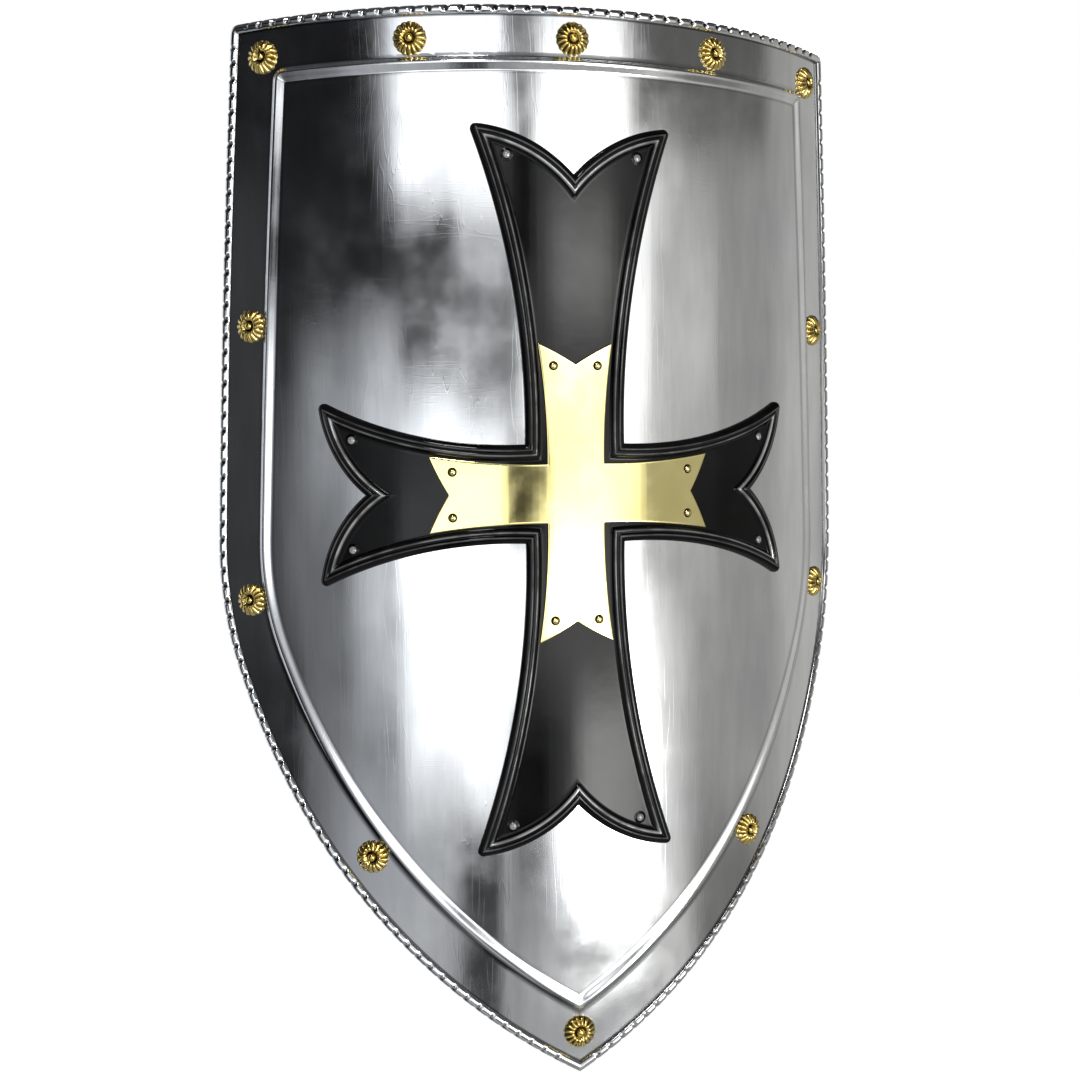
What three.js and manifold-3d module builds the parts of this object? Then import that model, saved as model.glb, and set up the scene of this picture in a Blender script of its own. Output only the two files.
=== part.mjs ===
// A crusader's heater shield of bent steel sheet, with a riveted black cross, a brass cross on that, and arm
// straps behind. Millimetres. Seen from the front: +X right, +Z up, and the front faces -Y.
// The sheets are drawn flat, u across and v up from the cross's centre, with w the height above the plate's
// front face, and then bent round an upright axis. The origin is the middle of the forearm behind the cross.
import * as THREE from "three";
import { mergeVertices } from "three/addons/utils/BufferGeometryUtils.js";
import Module from "manifold-3d";

const wasm = await Module();
wasm.setup();

// The plate and its bend
const BEND_RADIUS = 301;
const PLATE_SHEET = 1.2;
const ARM_DEPTH = 45;
const GAP = 0.3;
const CUT_OVERRUN = 5;
const FACET_WIDTH = 20;
const FACET_SAG = FACET_WIDTH ** 2 / (8 * BEND_RADIUS);
const COLUMN_SNAP = 0.4;

// The outline of the whole shield, as arcs of the flat sheet
const CROWN_HEIGHT = 315.5;
const TOP_RADIUS = 8300;
const SHOULDER_HALF_WIDTH = 254.5;
const SHOULDER_DROP = 37;
const SHOULDER_RADIUS = 220;
const SIDE_RADIUS = 9000;
const LOWER_RADIUS = 545;
const SIDE_LEAN = THREE.MathUtils.degToRad(2.3);
const LOWER_START = THREE.MathUtils.degToRad(22);

// The rolled and roped edge
const RIM_RADIUS = 3.2;
const RIM_CORNER_RADIUS = 3.4;
const ROPE_PITCH = 10.6;
const ROPE_SLANT = 2.2;
const NICK_SHARE = 0.72;
const RIM_SIDES = 5;
const SMOOTH_STATIONS = 3;

// The pressed bead that runs beside the border
const TOP_BORDER = 32.4;
const SIDE_BORDER = 35.5;
const BEAD_WIDTH = 9.8;
const BEAD_HEIGHT = 2.6;
const BEAD_CREST_SHARES = [0.32, 0.62];

// The black cross: along its arm a tip lies at length, and the notch of its swallow tail at notch
const CROSS_SHEET = 1.0;
const CROSS_UPRIGHT = { root: 33.8, flareStart: 45, tip: 67.4, length: 239, notch: 208, bulge: 7.2 };
const CROSS_CROSSBAR = { root: 32.5, flareStart: 45, tip: 61, length: 170.5, notch: 139.5, bulge: 7 };
const CROSS_EDGE_HEIGHT = 1.1;
const CROSS_BEAD = { shoulderInset: 1.6, shoulderHeight: 3.3, crestInset: 4.6, crestHeight: 4.5 };
const CROSS_FIELD_INSET = 10.7;

// The brass cross
const BRASS_SHEET = 0.8;
const BRASS_UPRIGHT = { root: 19.4, flareStart: 24, tip: 25.3, length: 98.7, notch: 85, bulge: 0.6 };
const BRASS_CROSSBAR = { root: 19.7, flareStart: 24, tip: 25.6, length: 97.2, notch: 84.3, bulge: 0.6 };

// The rivets of the crosses, and the room from a head to the bead along an arm's edge and along its tail
const CROSS_RIVET = { head: 3.3, rise: 0, dome: 1.9, shank: 1.6, tail: 2.8, tailDome: 1.2 };
const CROSS_RIVET_ROOMS = { upright: { edge: 2.2, tail: 0.4 }, crossbar: { edge: 0.4, tail: 1.4 } };
const BRASS_RIVET_ROOMS = { upright: { edge: 5, tail: 5.4 }, crossbar: { edge: 5, tail: 6.6 } };
const RIVET_SIDES = 6;

// The rosettes and their rivets
const ROSETTE = { edge: 10.6, crest: 5.2, bore: 2.2, edgeHeight: 0.4, crestHeight: 3.9, boreHeight: 2.3 };
const ROSETTE_PETALS = 16;
const ROSETTE_SCALLOP_SHARE = 0.045;
const ROSETTE_CREST_SHARE = 0.08;
const ROSETTE_FLUTE_SHARE = 1;
const ROSETTE_RIVET = { head: 3.5, rise: 0.9, dome: 2.7, shank: 1.9, tail: 3.4, tailDome: 1.4 };
const TOP_ROSETTE_INSET = 20.8;
const TOP_ROSETTE_SHARES = [0, 0.452];
const CORNER_ROSETTE = { topInset: 24, sideInset: 26.8 };
const SIDE_ROSETTE_INSET = 25;
const SIDE_ROSETTE_HEIGHT_SHARES = [0.358, -0.226];
const LOWER_ROSETTE_HEIGHT_SHARE = -0.764;
const TIP_ROSETTE_RISE = 28;

// The straps and brackets behind the plate
const STRAP_OFFSET = 96;
const STRAP_WIDTH = 30;
const STRAP_THICKNESS = 3;
const LAP_LENGTH = 20;
const HEEL_LAP_LENGTH = 14;
const LAP_BITE = 0.4;
const BRACKET = { thickness: 2, foot: 9, depth: 16, inside: 5.3, play: 1 };
const FOLD_PLAY = 0.5;
const FOLD_CORNER_SHARES = { outer: 0.8, inner: 0.15 };
const GRIP_REACH = 62;
const GRIP_HEIGHT = 44;
const GRIP_FLAT = 22;
const GRIP_THICKNESS = 4;
const ARM_REACH = 78;
const ARM_HEIGHT = 92;
const ARM_FLAT = 46;
const STRAP_RIVET = { head: 4, rise: 0, dome: 1.2, shank: 1.6, tail: 3, tailDome: 0.8 };
const STRAP_RIVET_ALONG = 13;

// The buckle: a stamped frame, a tongue on its heel bar and a leather keeper
const FRAME = { bar: 4, thickness: 3.6, reach: 30, play: 1.5, corner: 3 };
const HEEL_ROOM = 3;
const TONGUE = { width: 3, thickness: 2.6, ring: 1.6, overhang: 3 };
const TONGUE_ROOM = 0.7;
const SLOT = { near: 3.5, far: 22.5 };
const TAIL_END = 40;
const TAIL_RISE = { start: 27, top: 5, settle: 17 };
const KEEPER = { centre: 27, length: 8, thickness: 2, play: 0.4 };
const LIFT = 0.4;

const STEEL = new THREE.MeshStandardMaterial({ color: 0xb9bbbd, roughness: 0.28, metalness: 1 });
const BLACK = new THREE.MeshStandardMaterial({ color: 0x0b0b0c, roughness: 0.22, metalness: 0 });
const BRASS = new THREE.MeshStandardMaterial({ color: 0xd9b85a, roughness: 0.25, metalness: 1 });
const LEATHER = new THREE.MeshStandardMaterial({ color: 0x3f2415, roughness: 0.65, metalness: 0 });
const IRON = new THREE.MeshStandardMaterial({ color: 0x8a8c8f, roughness: 0.4, metalness: 1 });

// Circles of the flat sheet. side is 1 where the sheet lies on the centre's side, and -1 outside the circle.
function inset(circle, distance) {
  return { ...circle, radius: circle.radius - circle.side * distance };
}

function pointAt(circle, angle) {
  return [circle.u + circle.radius * Math.cos(angle), circle.v + circle.radius * Math.sin(angle)];
}

function distance(a, b) {
  return Math.hypot(a[0] - b[0], a[1] - b[1]);
}

// The meeting point of two circles that lies nearer to a given point
function meet(a, b, near) {
  const du = b.u - a.u;
  const dv = b.v - a.v;
  const apart = Math.hypot(du, dv);
  const along = (apart * apart + a.radius * a.radius - b.radius * b.radius) / (2 * apart);
  const off = Math.sqrt(Math.max(a.radius * a.radius - along * along, 0));
  const middle = [a.u + (du * along) / apart, a.v + (dv * along) / apart];
  const first = [middle[0] - (dv * off) / apart, middle[1] + (du * off) / apart];
  const second = [middle[0] + (dv * off) / apart, middle[1] - (du * off) / apart];
  return distance(first, near) < distance(second, near) ? first : second;
}

// The points of a circle from one of its points towards another, without the last
function arc(circle, from, to, steps) {
  const start = Math.atan2(from[1] - circle.v, from[0] - circle.u);
  const end = Math.atan2(to[1] - circle.v, to[0] - circle.u);
  const turn = Math.atan2(Math.sin(end - start), Math.cos(end - start));
  return Array.from({ length: steps }, (_, i) => pointAt(circle, start + (turn * i) / steps));
}

// The shield's outline: a crown arc, and on each side a nearly straight arc, a shoulder and a long lower arc
const TOP = { u: 0, v: CROWN_HEIGHT - TOP_RADIUS, radius: TOP_RADIUS, side: 1 };
const SHOULDER = {
  u: SHOULDER_HALF_WIDTH - SHOULDER_RADIUS,
  v: -SHOULDER_DROP,
  radius: SHOULDER_RADIUS,
  side: 1,
};

// A circle that touches the shoulder's circle from outside where the shoulder has the given direction
function touching(radius, direction) {
  const shift = SHOULDER_RADIUS - radius;
  return {
    u: SHOULDER.u + shift * Math.cos(direction),
    v: SHOULDER.v + shift * Math.sin(direction),
    radius,
    side: 1,
  };
}

const SIDE = touching(SIDE_RADIUS, SIDE_LEAN);
const LOWER = touching(LOWER_RADIUS, -LOWER_START);

function lowestOnAxis(circle) {
  return [0, circle.v - Math.sqrt(circle.radius ** 2 - circle.u ** 2)];
}

function highestOnAxis(circle) {
  return [0, circle.v + Math.sqrt(circle.radius ** 2 - circle.u ** 2)];
}

function shieldCorner(topInset, sideInset) {
  return meet(inset(TOP, topInset), inset(SIDE, sideInset), [SHOULDER_HALF_WIDTH, CROWN_HEIGHT]);
}

// The right half of the outline, from the tip up to the crown
function shieldHalf(topInset, sideInset, steps) {
  const [top, side, shoulder, lower] = [
    inset(TOP, topInset),
    inset(SIDE, sideInset),
    inset(SHOULDER, sideInset),
    inset(LOWER, sideInset),
  ];
  const corner = shieldCorner(topInset, sideInset);
  const hip = pointAt(shoulder, -LOWER_START);
  const lean = pointAt(shoulder, SIDE_LEAN);
  const crown = highestOnAxis(top);
  return [
    ...arc(lower, lowestOnAxis(lower), hip, steps.lower),
    ...arc(shoulder, hip, lean, steps.shoulder),
    ...arc(side, lean, corner, steps.side),
    ...arc(top, corner, crown, steps.top),
    crown,
  ];
}

// Adds the mirrored left half to a right half whose two ends lie on the middle line
function closeHalf(half) {
  const left = half.slice(1, -1).reverse();
  return [...half, ...left.map(([u, v]) => [-u, v])];
}

const PLATE_STEPS = { lower: 11, shoulder: 4, side: 3, top: 3 };

function plateLoop(topInset, sideInset) {
  return closeHalf(shieldHalf(topInset, sideInset, PLATE_STEPS));
}

function beadLoop(offset) {
  return plateLoop(TOP_BORDER + offset, SIDE_BORDER + offset);
}

// The bend: a point of the flat sheet goes round the upright axis
function bend(u, v, w) {
  const angle = u / BEND_RADIUS;
  const radius = BEND_RADIUS + w;
  return [radius * Math.sin(angle), BEND_RADIUS - ARM_DEPTH - radius * Math.cos(angle), v];
}

function closedGeometry(corners, faces) {
  const geometry = new THREE.BufferGeometry();
  geometry.setAttribute("position", new THREE.Float32BufferAttribute(corners.flat(), 3));
  geometry.setIndex(faces.flat());
  return geometry;
}

// Where a loop crosses the columns of the bend it gets a point, and so do the loops that follow it
function columnCuts(loop) {
  const cuts = [];
  loop.forEach(([u], i) => {
    const next = loop[(i + 1) % loop.length][0];
    const low = Math.min(u, next) + COLUMN_SNAP;
    const high = Math.max(u, next) - COLUMN_SNAP;
    const found = [];
    for (let k = Math.ceil(low / FACET_WIDTH); k * FACET_WIDTH < high; k += 1) {
      found.push((k * FACET_WIDTH - u) / (next - u));
    }
    found.sort((a, b) => a - b);
    cuts.push(found);
  });
  return cuts;
}

function withCuts(loop, cuts) {
  return loop.flatMap((point, i) => {
    const next = loop[(i + 1) % loop.length];
    const added = cuts[i].map((share) => point.map((value, k) => value + share * (next[k] - value)));
    return [point, ...added];
  });
}

function onColumn(u, column) {
  return Math.abs(u - column * FACET_WIDTH) < COLUMN_SNAP;
}

// The runs of a loop that lie between two neighbouring columns
function runsInStrip(loop, strip) {
  const inStrip = loop.map(([u], i) => {
    const middle = (u + loop[(i + 1) % loop.length][0]) / 2;
    return Math.floor(middle / FACET_WIDTH) === strip;
  });
  const runs = [];
  inStrip.forEach((inside, i) => {
    const before = inStrip[(i + loop.length - 1) % loop.length];
    if (!inside || before) return;
    const run = [i];
    let at = i;
    while (inStrip[at % loop.length]) {
      at += 1;
      run.push(at % loop.length);
    }
    runs.push(run);
  });
  return runs;
}

// Joins the runs of one strip, down its left column and up its right one, into closed outlines
function outlinesOfStrip(loop, strip) {
  const runs = runsInStrip(loop, strip);
  const outlines = [];
  while (runs.length) {
    const outline = [...runs.shift()];
    for (;;) {
      const [u, v] = loop[outline[outline.length - 1]];
      const down = onColumn(u, strip);
      const ahead = (point) => (down ? v - point[1] : point[1] - v);
      const start = loop[outline[0]];
      let best = onColumn(start[0], down ? strip : strip + 1) ? ahead(start) : -1;
      let next = -1;
      runs.forEach((run, i) => {
        const point = loop[run[0]];
        const reach = ahead(point);
        if (!onColumn(point[0], down ? strip : strip + 1) || reach < 0) return;
        if (best < 0 || reach < best) {
          best = reach;
          next = i;
        }
      });
      if (next < 0) break;
      outline.push(...runs.splice(next, 1)[0]);
    }
    outlines.push(outline.filter((index, i) => index !== outline[(i + 1) % outline.length]));
  }
  return outlines;
}

// Fills a loop with triangles that never reach over more than one column of the bend
function fillLoop(loop) {
  const us = loop.map(([u]) => u);
  const first = Math.floor(Math.min(...us) / FACET_WIDTH);
  const last = Math.floor(Math.max(...us) / FACET_WIDTH);
  const faces = [];
  for (let strip = first; strip <= last; strip += 1) {
    outlinesOfStrip(loop, strip).forEach((outline) => {
      const contour = outline.map((index) => new THREE.Vector2(...loop[index]));
      THREE.ShapeUtils.triangulateShape(contour, []).forEach((face) => {
        faces.push(face.map((corner) => outline[corner]));
      });
    });
  }
  return faces;
}

// A sheet from rings of the same count of points, from the inner ring of its front round to that of its back
function pressedSheet(rings) {
  const cuts = columnCuts(rings[0].loop);
  const loops = rings.map(({ loop }) => withCuts(loop, cuts));
  const count = loops[0].length;
  const corners = loops.flatMap((loop, r) => loop.map(([u, v]) => bend(u, v, rings[r].w)));
  const faces = fillLoop(loops[0]);
  for (let r = 0; r + 1 < loops.length; r += 1) {
    for (let i = 0; i < count; i += 1) {
      const here = r * count + i;
      const beside = r * count + ((i + 1) % count);
      faces.push([here, here + count, beside], [beside, here + count, beside + count]);
    }
  }
  const back = (loops.length - 1) * count;
  fillLoop(loops[loops.length - 1]).forEach(([a, b, c]) => faces.push([back + a, back + c, back + b]));
  return closedGeometry(corners, faces);
}

// The plate reaches to the rim and keeps the gap of a weld to it
const RIM_INNER_REACH = RIM_RADIUS * (1 + Math.cos(Math.PI / RIM_SIDES));
const PLATE_INSET = RIM_INNER_REACH + GAP;

function plateRings() {
  const [outerCrest, innerCrest] = BEAD_CREST_SHARES.map((share) => share * BEAD_WIDTH);
  const middle = plateLoop((PLATE_INSET + TOP_BORDER) / 2, (PLATE_INSET + SIDE_BORDER) / 2);
  const edge = plateLoop(PLATE_INSET, PLATE_INSET);
  const crestBack = beadLoop((outerCrest + innerCrest) / 2);
  return [
    { loop: beadLoop(BEAD_WIDTH), w: 0 },
    { loop: beadLoop(innerCrest), w: BEAD_HEIGHT },
    { loop: beadLoop(outerCrest), w: BEAD_HEIGHT },
    { loop: beadLoop(0), w: 0 },
    { loop: middle, w: 0 },
    { loop: edge, w: 0 },
    { loop: edge, w: -PLATE_SHEET },
    { loop: middle, w: -PLATE_SHEET },
    { loop: beadLoop(0), w: -PLATE_SHEET },
    { loop: crestBack, w: BEAD_HEIGHT - PLATE_SHEET },
    { loop: beadLoop(BEAD_WIDTH), w: -PLATE_SHEET },
  ];
}

// An arm of a cross along +a with half widths along b: its flared edge and one arc of its swallow tail
function armCircles(arm) {
  const rise = arm.tip - arm.root;
  const run = arm.length - arm.flareStart;
  const flareRadius = (run * run + rise * rise) / (2 * rise);
  const deep = arm.length - arm.notch;
  const chord = Math.hypot(deep, arm.tip);
  const tailRadius = (chord * chord) / (8 * arm.bulge) + arm.bulge / 2;
  const back = tailRadius - arm.bulge;
  return {
    flare: { a: arm.flareStart, b: arm.root + flareRadius, radius: flareRadius, side: -1 },
    tail: {
      a: (arm.length + arm.notch) / 2 - (back * arm.tip) / chord,
      b: arm.tip / 2 + (back * deep) / chord,
      radius: tailRadius,
      side: 1,
    },
  };
}

function uprightCircle({ a, b, radius, side }) {
  return { u: b, v: a, radius, side };
}

function crossbarCircle({ a, b, radius, side }) {
  return { u: a, v: b, radius, side };
}

const CROSS_STEPS = { tail: 3, flare: 5 };
const BRASS_STEPS = { tail: 1, flare: 3 };

// A quarter of a cross's outline, from the notch on the right round to the notch at the top
function crossQuarter(upright, crossbar, edgeInset, steps) {
  const up = armCircles(upright);
  const across = armCircles(crossbar);
  const upFlare = inset(uprightCircle(up.flare), edgeInset);
  const upTail = inset(uprightCircle(up.tail), edgeInset);
  const acrossFlare = inset(crossbarCircle(across.flare), edgeInset);
  const acrossTail = inset(crossbarCircle(across.tail), edgeInset);
  const rightNotch = [acrossTail.u + Math.sqrt(acrossTail.radius ** 2 - acrossTail.v ** 2), 0];
  const topNotch = [0, upTail.v + Math.sqrt(upTail.radius ** 2 - upTail.u ** 2)];
  const rightTip = meet(acrossTail, acrossFlare, [crossbar.length, crossbar.tip]);
  const topTip = meet(upFlare, upTail, [upright.tip, upright.length]);
  const pit = meet(acrossFlare, upFlare, [upright.root, crossbar.root]);
  return [
    ...arc(acrossTail, rightNotch, rightTip, steps.tail),
    ...arc(acrossFlare, rightTip, pit, steps.flare),
    ...arc(upFlare, pit, topTip, steps.flare),
    ...arc(upTail, topTip, topNotch, steps.tail),
    topNotch,
  ];
}

function crossLoop(upright, crossbar, edgeInset, steps) {
  const quarter = crossQuarter(upright, crossbar, edgeInset, steps);
  const half = [...quarter, ...quarter.slice(0, -1).reverse().map(([u, v]) => [-u, v])];
  return [...half, ...half.slice(1, -1).reverse().map(([u, v]) => [u, -v])];
}

function blackCrossRings() {
  const ring = (edgeInset, w) => ({
    loop: crossLoop(CROSS_UPRIGHT, CROSS_CROSSBAR, edgeInset, CROSS_STEPS),
    w,
  });
  return [
    ring(CROSS_FIELD_INSET, GAP + CROSS_SHEET),
    ring(CROSS_BEAD.crestInset, GAP + CROSS_BEAD.crestHeight),
    ring(CROSS_BEAD.shoulderInset, GAP + CROSS_BEAD.shoulderHeight),
    ring(0, GAP + CROSS_EDGE_HEIGHT),
    ring(0, GAP),
    ring(CROSS_BEAD.crestInset, GAP + CROSS_BEAD.crestHeight - CROSS_SHEET),
    ring(CROSS_FIELD_INSET, GAP),
  ];
}

const FIELD_TOP = GAP + CROSS_SHEET;
const BRASS_TOP = FIELD_TOP + GAP + BRASS_SHEET;

function brassCrossRings() {
  const loop = crossLoop(BRASS_UPRIGHT, BRASS_CROSSBAR, 0, BRASS_STEPS);
  return [
    { loop, w: BRASS_TOP },
    { loop, w: FIELD_TOP + GAP },
  ];
}

// The rim's stations: places on its centre line, with the outward direction, the nick and the mitre's stretch
function rimRun(circle, from, to, smoothStart, smoothEnd) {
  const start = Math.atan2(from[1] - circle.v, from[0] - circle.u);
  const end = Math.atan2(to[1] - circle.v, to[0] - circle.u);
  const turn = Math.atan2(Math.sin(end - start), Math.cos(end - start));
  const steps = 2 * Math.max(Math.round((Math.abs(turn) * circle.radius) / ROPE_PITCH), 1);
  return Array.from({ length: steps }, (_, i) => {
    const angle = start + (turn * i) / steps;
    const smooth = i < smoothStart || steps - i < smoothEnd;
    return {
      place: pointAt(circle, angle),
      outward: [Math.cos(angle), Math.sin(angle)],
      rope: smooth ? 0 : 1,
      nick: i % 2 === 1 && !smooth,
      stretch: 1,
    };
  });
}

function rimHalf() {
  const [top, side, shoulder, lower] = [TOP, SIDE, SHOULDER, LOWER].map((c) => inset(c, RIM_RADIUS));
  const centre = shieldCorner(RIM_RADIUS + RIM_CORNER_RADIUS, RIM_RADIUS + RIM_CORNER_RADIUS);
  const sideAngle = Math.atan2(centre[1] - side.v, centre[0] - side.u);
  const topAngle = Math.atan2(centre[1] - top.v, centre[0] - top.u);
  const corner = { u: centre[0], v: centre[1], radius: RIM_CORNER_RADIUS, side: 1 };
  const hip = pointAt(shoulder, -LOWER_START);
  const lean = pointAt(shoulder, SIDE_LEAN);
  const tip = lowestOnAxis(lower);
  const halfTurn = Math.atan2(-(tip[1] - lower.v), tip[0] - lower.u);
  const lowerRun = rimRun(lower, tip, hip, SMOOTH_STATIONS, 0).slice(1);
  const cornerRun = [0, 1, 2].map((i) => {
    const angle = sideAngle + ((topAngle - sideAngle) * i) / 3;
    return {
      place: pointAt(corner, angle),
      outward: [Math.cos(angle), Math.sin(angle)],
      rope: 0,
      nick: false,
      stretch: 1,
    };
  });
  return [
    { place: tip, outward: [0, -1], rope: 0, nick: false, stretch: 1 / Math.sin(halfTurn) },
    ...lowerRun,
    ...rimRun(shoulder, hip, lean, 0, 0),
    ...rimRun(side, lean, pointAt(side, sideAngle), 0, SMOOTH_STATIONS),
    ...cornerRun,
    ...rimRun(top, pointAt(top, topAngle), highestOnAxis(top), SMOOTH_STATIONS, 0),
    { place: highestOnAxis(top), outward: [0, 1], rope: 1, nick: false, stretch: 1 },
  ];
}

// The rim's outer side is nicked at every pitch, and each nick slants across the roll
function rimRing(station) {
  const [nu, nv] = station.outward;
  return Array.from({ length: RIM_SIDES }, (_, j) => {
    const angle = (2 * Math.PI * j) / RIM_SIDES;
    const nicked = station.nick && Math.cos(angle) > 0;
    const radius = RIM_RADIUS * (nicked ? NICK_SHARE : 1);
    const out = radius * Math.cos(angle) * station.stretch;
    const slant = station.rope * ROPE_SLANT * Math.sin(angle);
    const u = station.place[0] + nu * out - nv * slant;
    const v = station.place[1] + nv * out + nu * slant;
    return bend(u, v, radius * Math.sin(angle) - PLATE_SHEET / 2);
  });
}

function rimGeometry() {
  const half = rimHalf();
  const left = half
    .slice(1, -1)
    .reverse()
    .map((s) => ({ ...s, place: [-s.place[0], s.place[1]], outward: [-s.outward[0], s.outward[1]] }));
  const stations = [...half, ...left];
  const faces = [];
  stations.forEach((_, i) => {
    const next = (i + 1) % stations.length;
    for (let j = 0; j < RIM_SIDES; j += 1) {
      const beside = (j + 1) % RIM_SIDES;
      const [a, b] = [i * RIM_SIDES + j, next * RIM_SIDES + j];
      const [c, d] = [i * RIM_SIDES + beside, next * RIM_SIDES + beside];
      faces.push([a, b, c], [c, b, d]);
    }
  });
  return closedGeometry(stations.flatMap(rimRing), faces);
}

// A rosette: fluted petals that slope from a crest to a scalloped edge, round a sunk bore
function rosetteGeometry() {
  const { edge, crest, bore, edgeHeight, crestHeight, boreHeight } = ROSETTE;
  const count = 2 * ROSETTE_PETALS;
  const wave = (i, share) => 1 + (i % 2 ? -share : share);
  const rings = [
    () => [bore, boreHeight],
    (i) => [crest, crestHeight * wave(i, ROSETTE_CREST_SHARE)],
    (i) => [edge * wave(i, ROSETTE_SCALLOP_SHARE), edgeHeight * wave(i, ROSETTE_FLUTE_SHARE)],
    () => [bore, 0],
  ];
  const corners = rings.flatMap((ring) =>
    Array.from({ length: count }, (_, i) => {
      const [radius, height] = ring(i);
      const angle = (2 * Math.PI * i) / count;
      return [radius * Math.cos(angle), radius * Math.sin(angle), height];
    }),
  );
  const faces = [];
  rings.forEach((_, r) => {
    const below = ((r + 1) % rings.length) * count;
    for (let i = 0; i < count; i += 1) {
      const next = (i + 1) % count;
      faces.push([r * count + i, below + i, r * count + next]);
      faces.push([r * count + next, below + i, below + next]);
    }
  });
  return closedGeometry(corners, faces);
}

// A rivet with its seat at z = 0 and its peened tail at the grip below it. Its head may flare up by a rise.
function rivetGeometry({ head, rise, dome, shank, tail, tailDome }, grip) {
  const profile = [
    [0, -grip - tailDome],
    [tail, -grip],
    [shank, -grip],
    [shank, 0],
    [head, rise],
    [head * 0.74, dome * 0.72],
    [0, dome],
  ];
  const lathe = new THREE.LatheGeometry(
    profile.map(([radius, z]) => new THREE.Vector2(radius, z)),
    RIVET_SIDES,
  );
  return lathe.rotateX(Math.PI / 2);
}

// Manifold solids for the cuts and joins
function solidOf(geometry) {
  const bare = geometry.index ? geometry.toNonIndexed() : geometry.clone();
  bare.deleteAttribute("normal");
  bare.deleteAttribute("uv");
  const merged = mergeVertices(bare);
  return new wasm.Manifold(
    new wasm.Mesh({
      numProp: 3,
      vertProperties: merged.getAttribute("position").array,
      triVerts: new Uint32Array(merged.index.array),
    }),
  );
}

function geometryOf(solid) {
  const mesh = solid.getMesh();
  const geometry = new THREE.BufferGeometry();
  geometry.setAttribute("position", new THREE.BufferAttribute(new Float32Array(mesh.vertProperties), 3));
  geometry.setIndex(new THREE.BufferAttribute(new Uint32Array(mesh.triVerts), 1));
  return geometry;
}

// The frame at a place of the front face: local x across, y up, z outwards
function frontFrame(u, v, w) {
  const angle = u / BEND_RADIUS;
  const out = new THREE.Vector3(Math.sin(angle), -Math.cos(angle), 0);
  const across = new THREE.Vector3(Math.cos(angle), Math.sin(angle), 0);
  const up = new THREE.Vector3(0, 0, 1);
  const frame = new THREE.Matrix4().makeBasis(across, up, out);
  return frame.setPosition(...bend(u, v, w));
}

// The frame on the back face: local z away from the plate, y up
function backFrame(u, v) {
  return frontFrame(u, v, -PLATE_SHEET).multiply(new THREE.Matrix4().makeRotationY(Math.PI));
}

// Each rivet hole leaves the gap round its shank
function holeAt(u, v, shank, low, high) {
  const radius = shank + GAP;
  const hole = new THREE.CylinderGeometry(radius, radius, high - low, RIVET_SIDES);
  hole.rotateX(Math.PI / 2).translate(0, 0, (high + low) / 2);
  return solidOf(hole.applyMatrix4(frontFrame(u, v, 0)));
}

function drilled(geometry, places, shank) {
  const [low, high] = [-PLATE_SHEET - CUT_OVERRUN, BRASS_TOP + CUT_OVERRUN];
  const cut = places.reduce(
    (solid, { u, v }) => solid.subtract(holeAt(u, v, shank, low, high)),
    solidOf(geometry),
  );
  return geometryOf(cut);
}

// A rivet near an arm's tip, clear of the edge and of the swallow tail by its own room
function armRivet(arm, toCircle, rooms, bead) {
  const { flare, tail } = armCircles(arm);
  const clear = bead + CROSS_RIVET.head;
  const { u, v } = toCircle({ a: arm.length, b: arm.tip });
  return meet(inset(toCircle(flare), clear + rooms.edge), inset(toCircle(tail), clear + rooms.tail), [u, v]);
}

// The eight rivets of a cross, named by their side
function crossRivets(prefix, upright, crossbar, rooms, bead) {
  const [upU, upV] = armRivet(upright, uprightCircle, rooms.upright, bead);
  const [acrossU, acrossV] = armRivet(crossbar, crossbarCircle, rooms.crossbar, bead);
  return [
    { name: `${prefix}_top_left`, u: -upU, v: upV },
    { name: `${prefix}_top_right`, u: upU, v: upV },
    { name: `${prefix}_bottom_left`, u: -upU, v: -upV },
    { name: `${prefix}_bottom_right`, u: upU, v: -upV },
    { name: `${prefix}_left_upper`, u: -acrossU, v: acrossV },
    { name: `${prefix}_left_lower`, u: -acrossU, v: -acrossV },
    { name: `${prefix}_right_upper`, u: acrossU, v: acrossV },
    { name: `${prefix}_right_lower`, u: acrossU, v: -acrossV },
  ];
}

const CROSS_RIVETS = crossRivets(
  "cross_rivet",
  CROSS_UPRIGHT,
  CROSS_CROSSBAR,
  CROSS_RIVET_ROOMS,
  CROSS_FIELD_INSET,
);
const BRASS_RIVETS = crossRivets("brass_rivet", BRASS_UPRIGHT, BRASS_CROSSBAR, BRASS_RIVET_ROOMS, 0);

// The point of an inset circle at a height, on its right side
function atHeight(circle, v) {
  return [circle.u + Math.sqrt(circle.radius ** 2 - (v - circle.v) ** 2), v];
}

function sideRosette(height) {
  const ring = [SIDE, SHOULDER, LOWER].map((circle) => inset(circle, SIDE_ROSETTE_INSET));
  const [side, shoulder, lower] = ring;
  if (height > pointAt(shoulder, SIDE_LEAN)[1]) return atHeight(side, height);
  return atHeight(height > pointAt(shoulder, -LOWER_START)[1] ? shoulder : lower, height);
}

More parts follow.
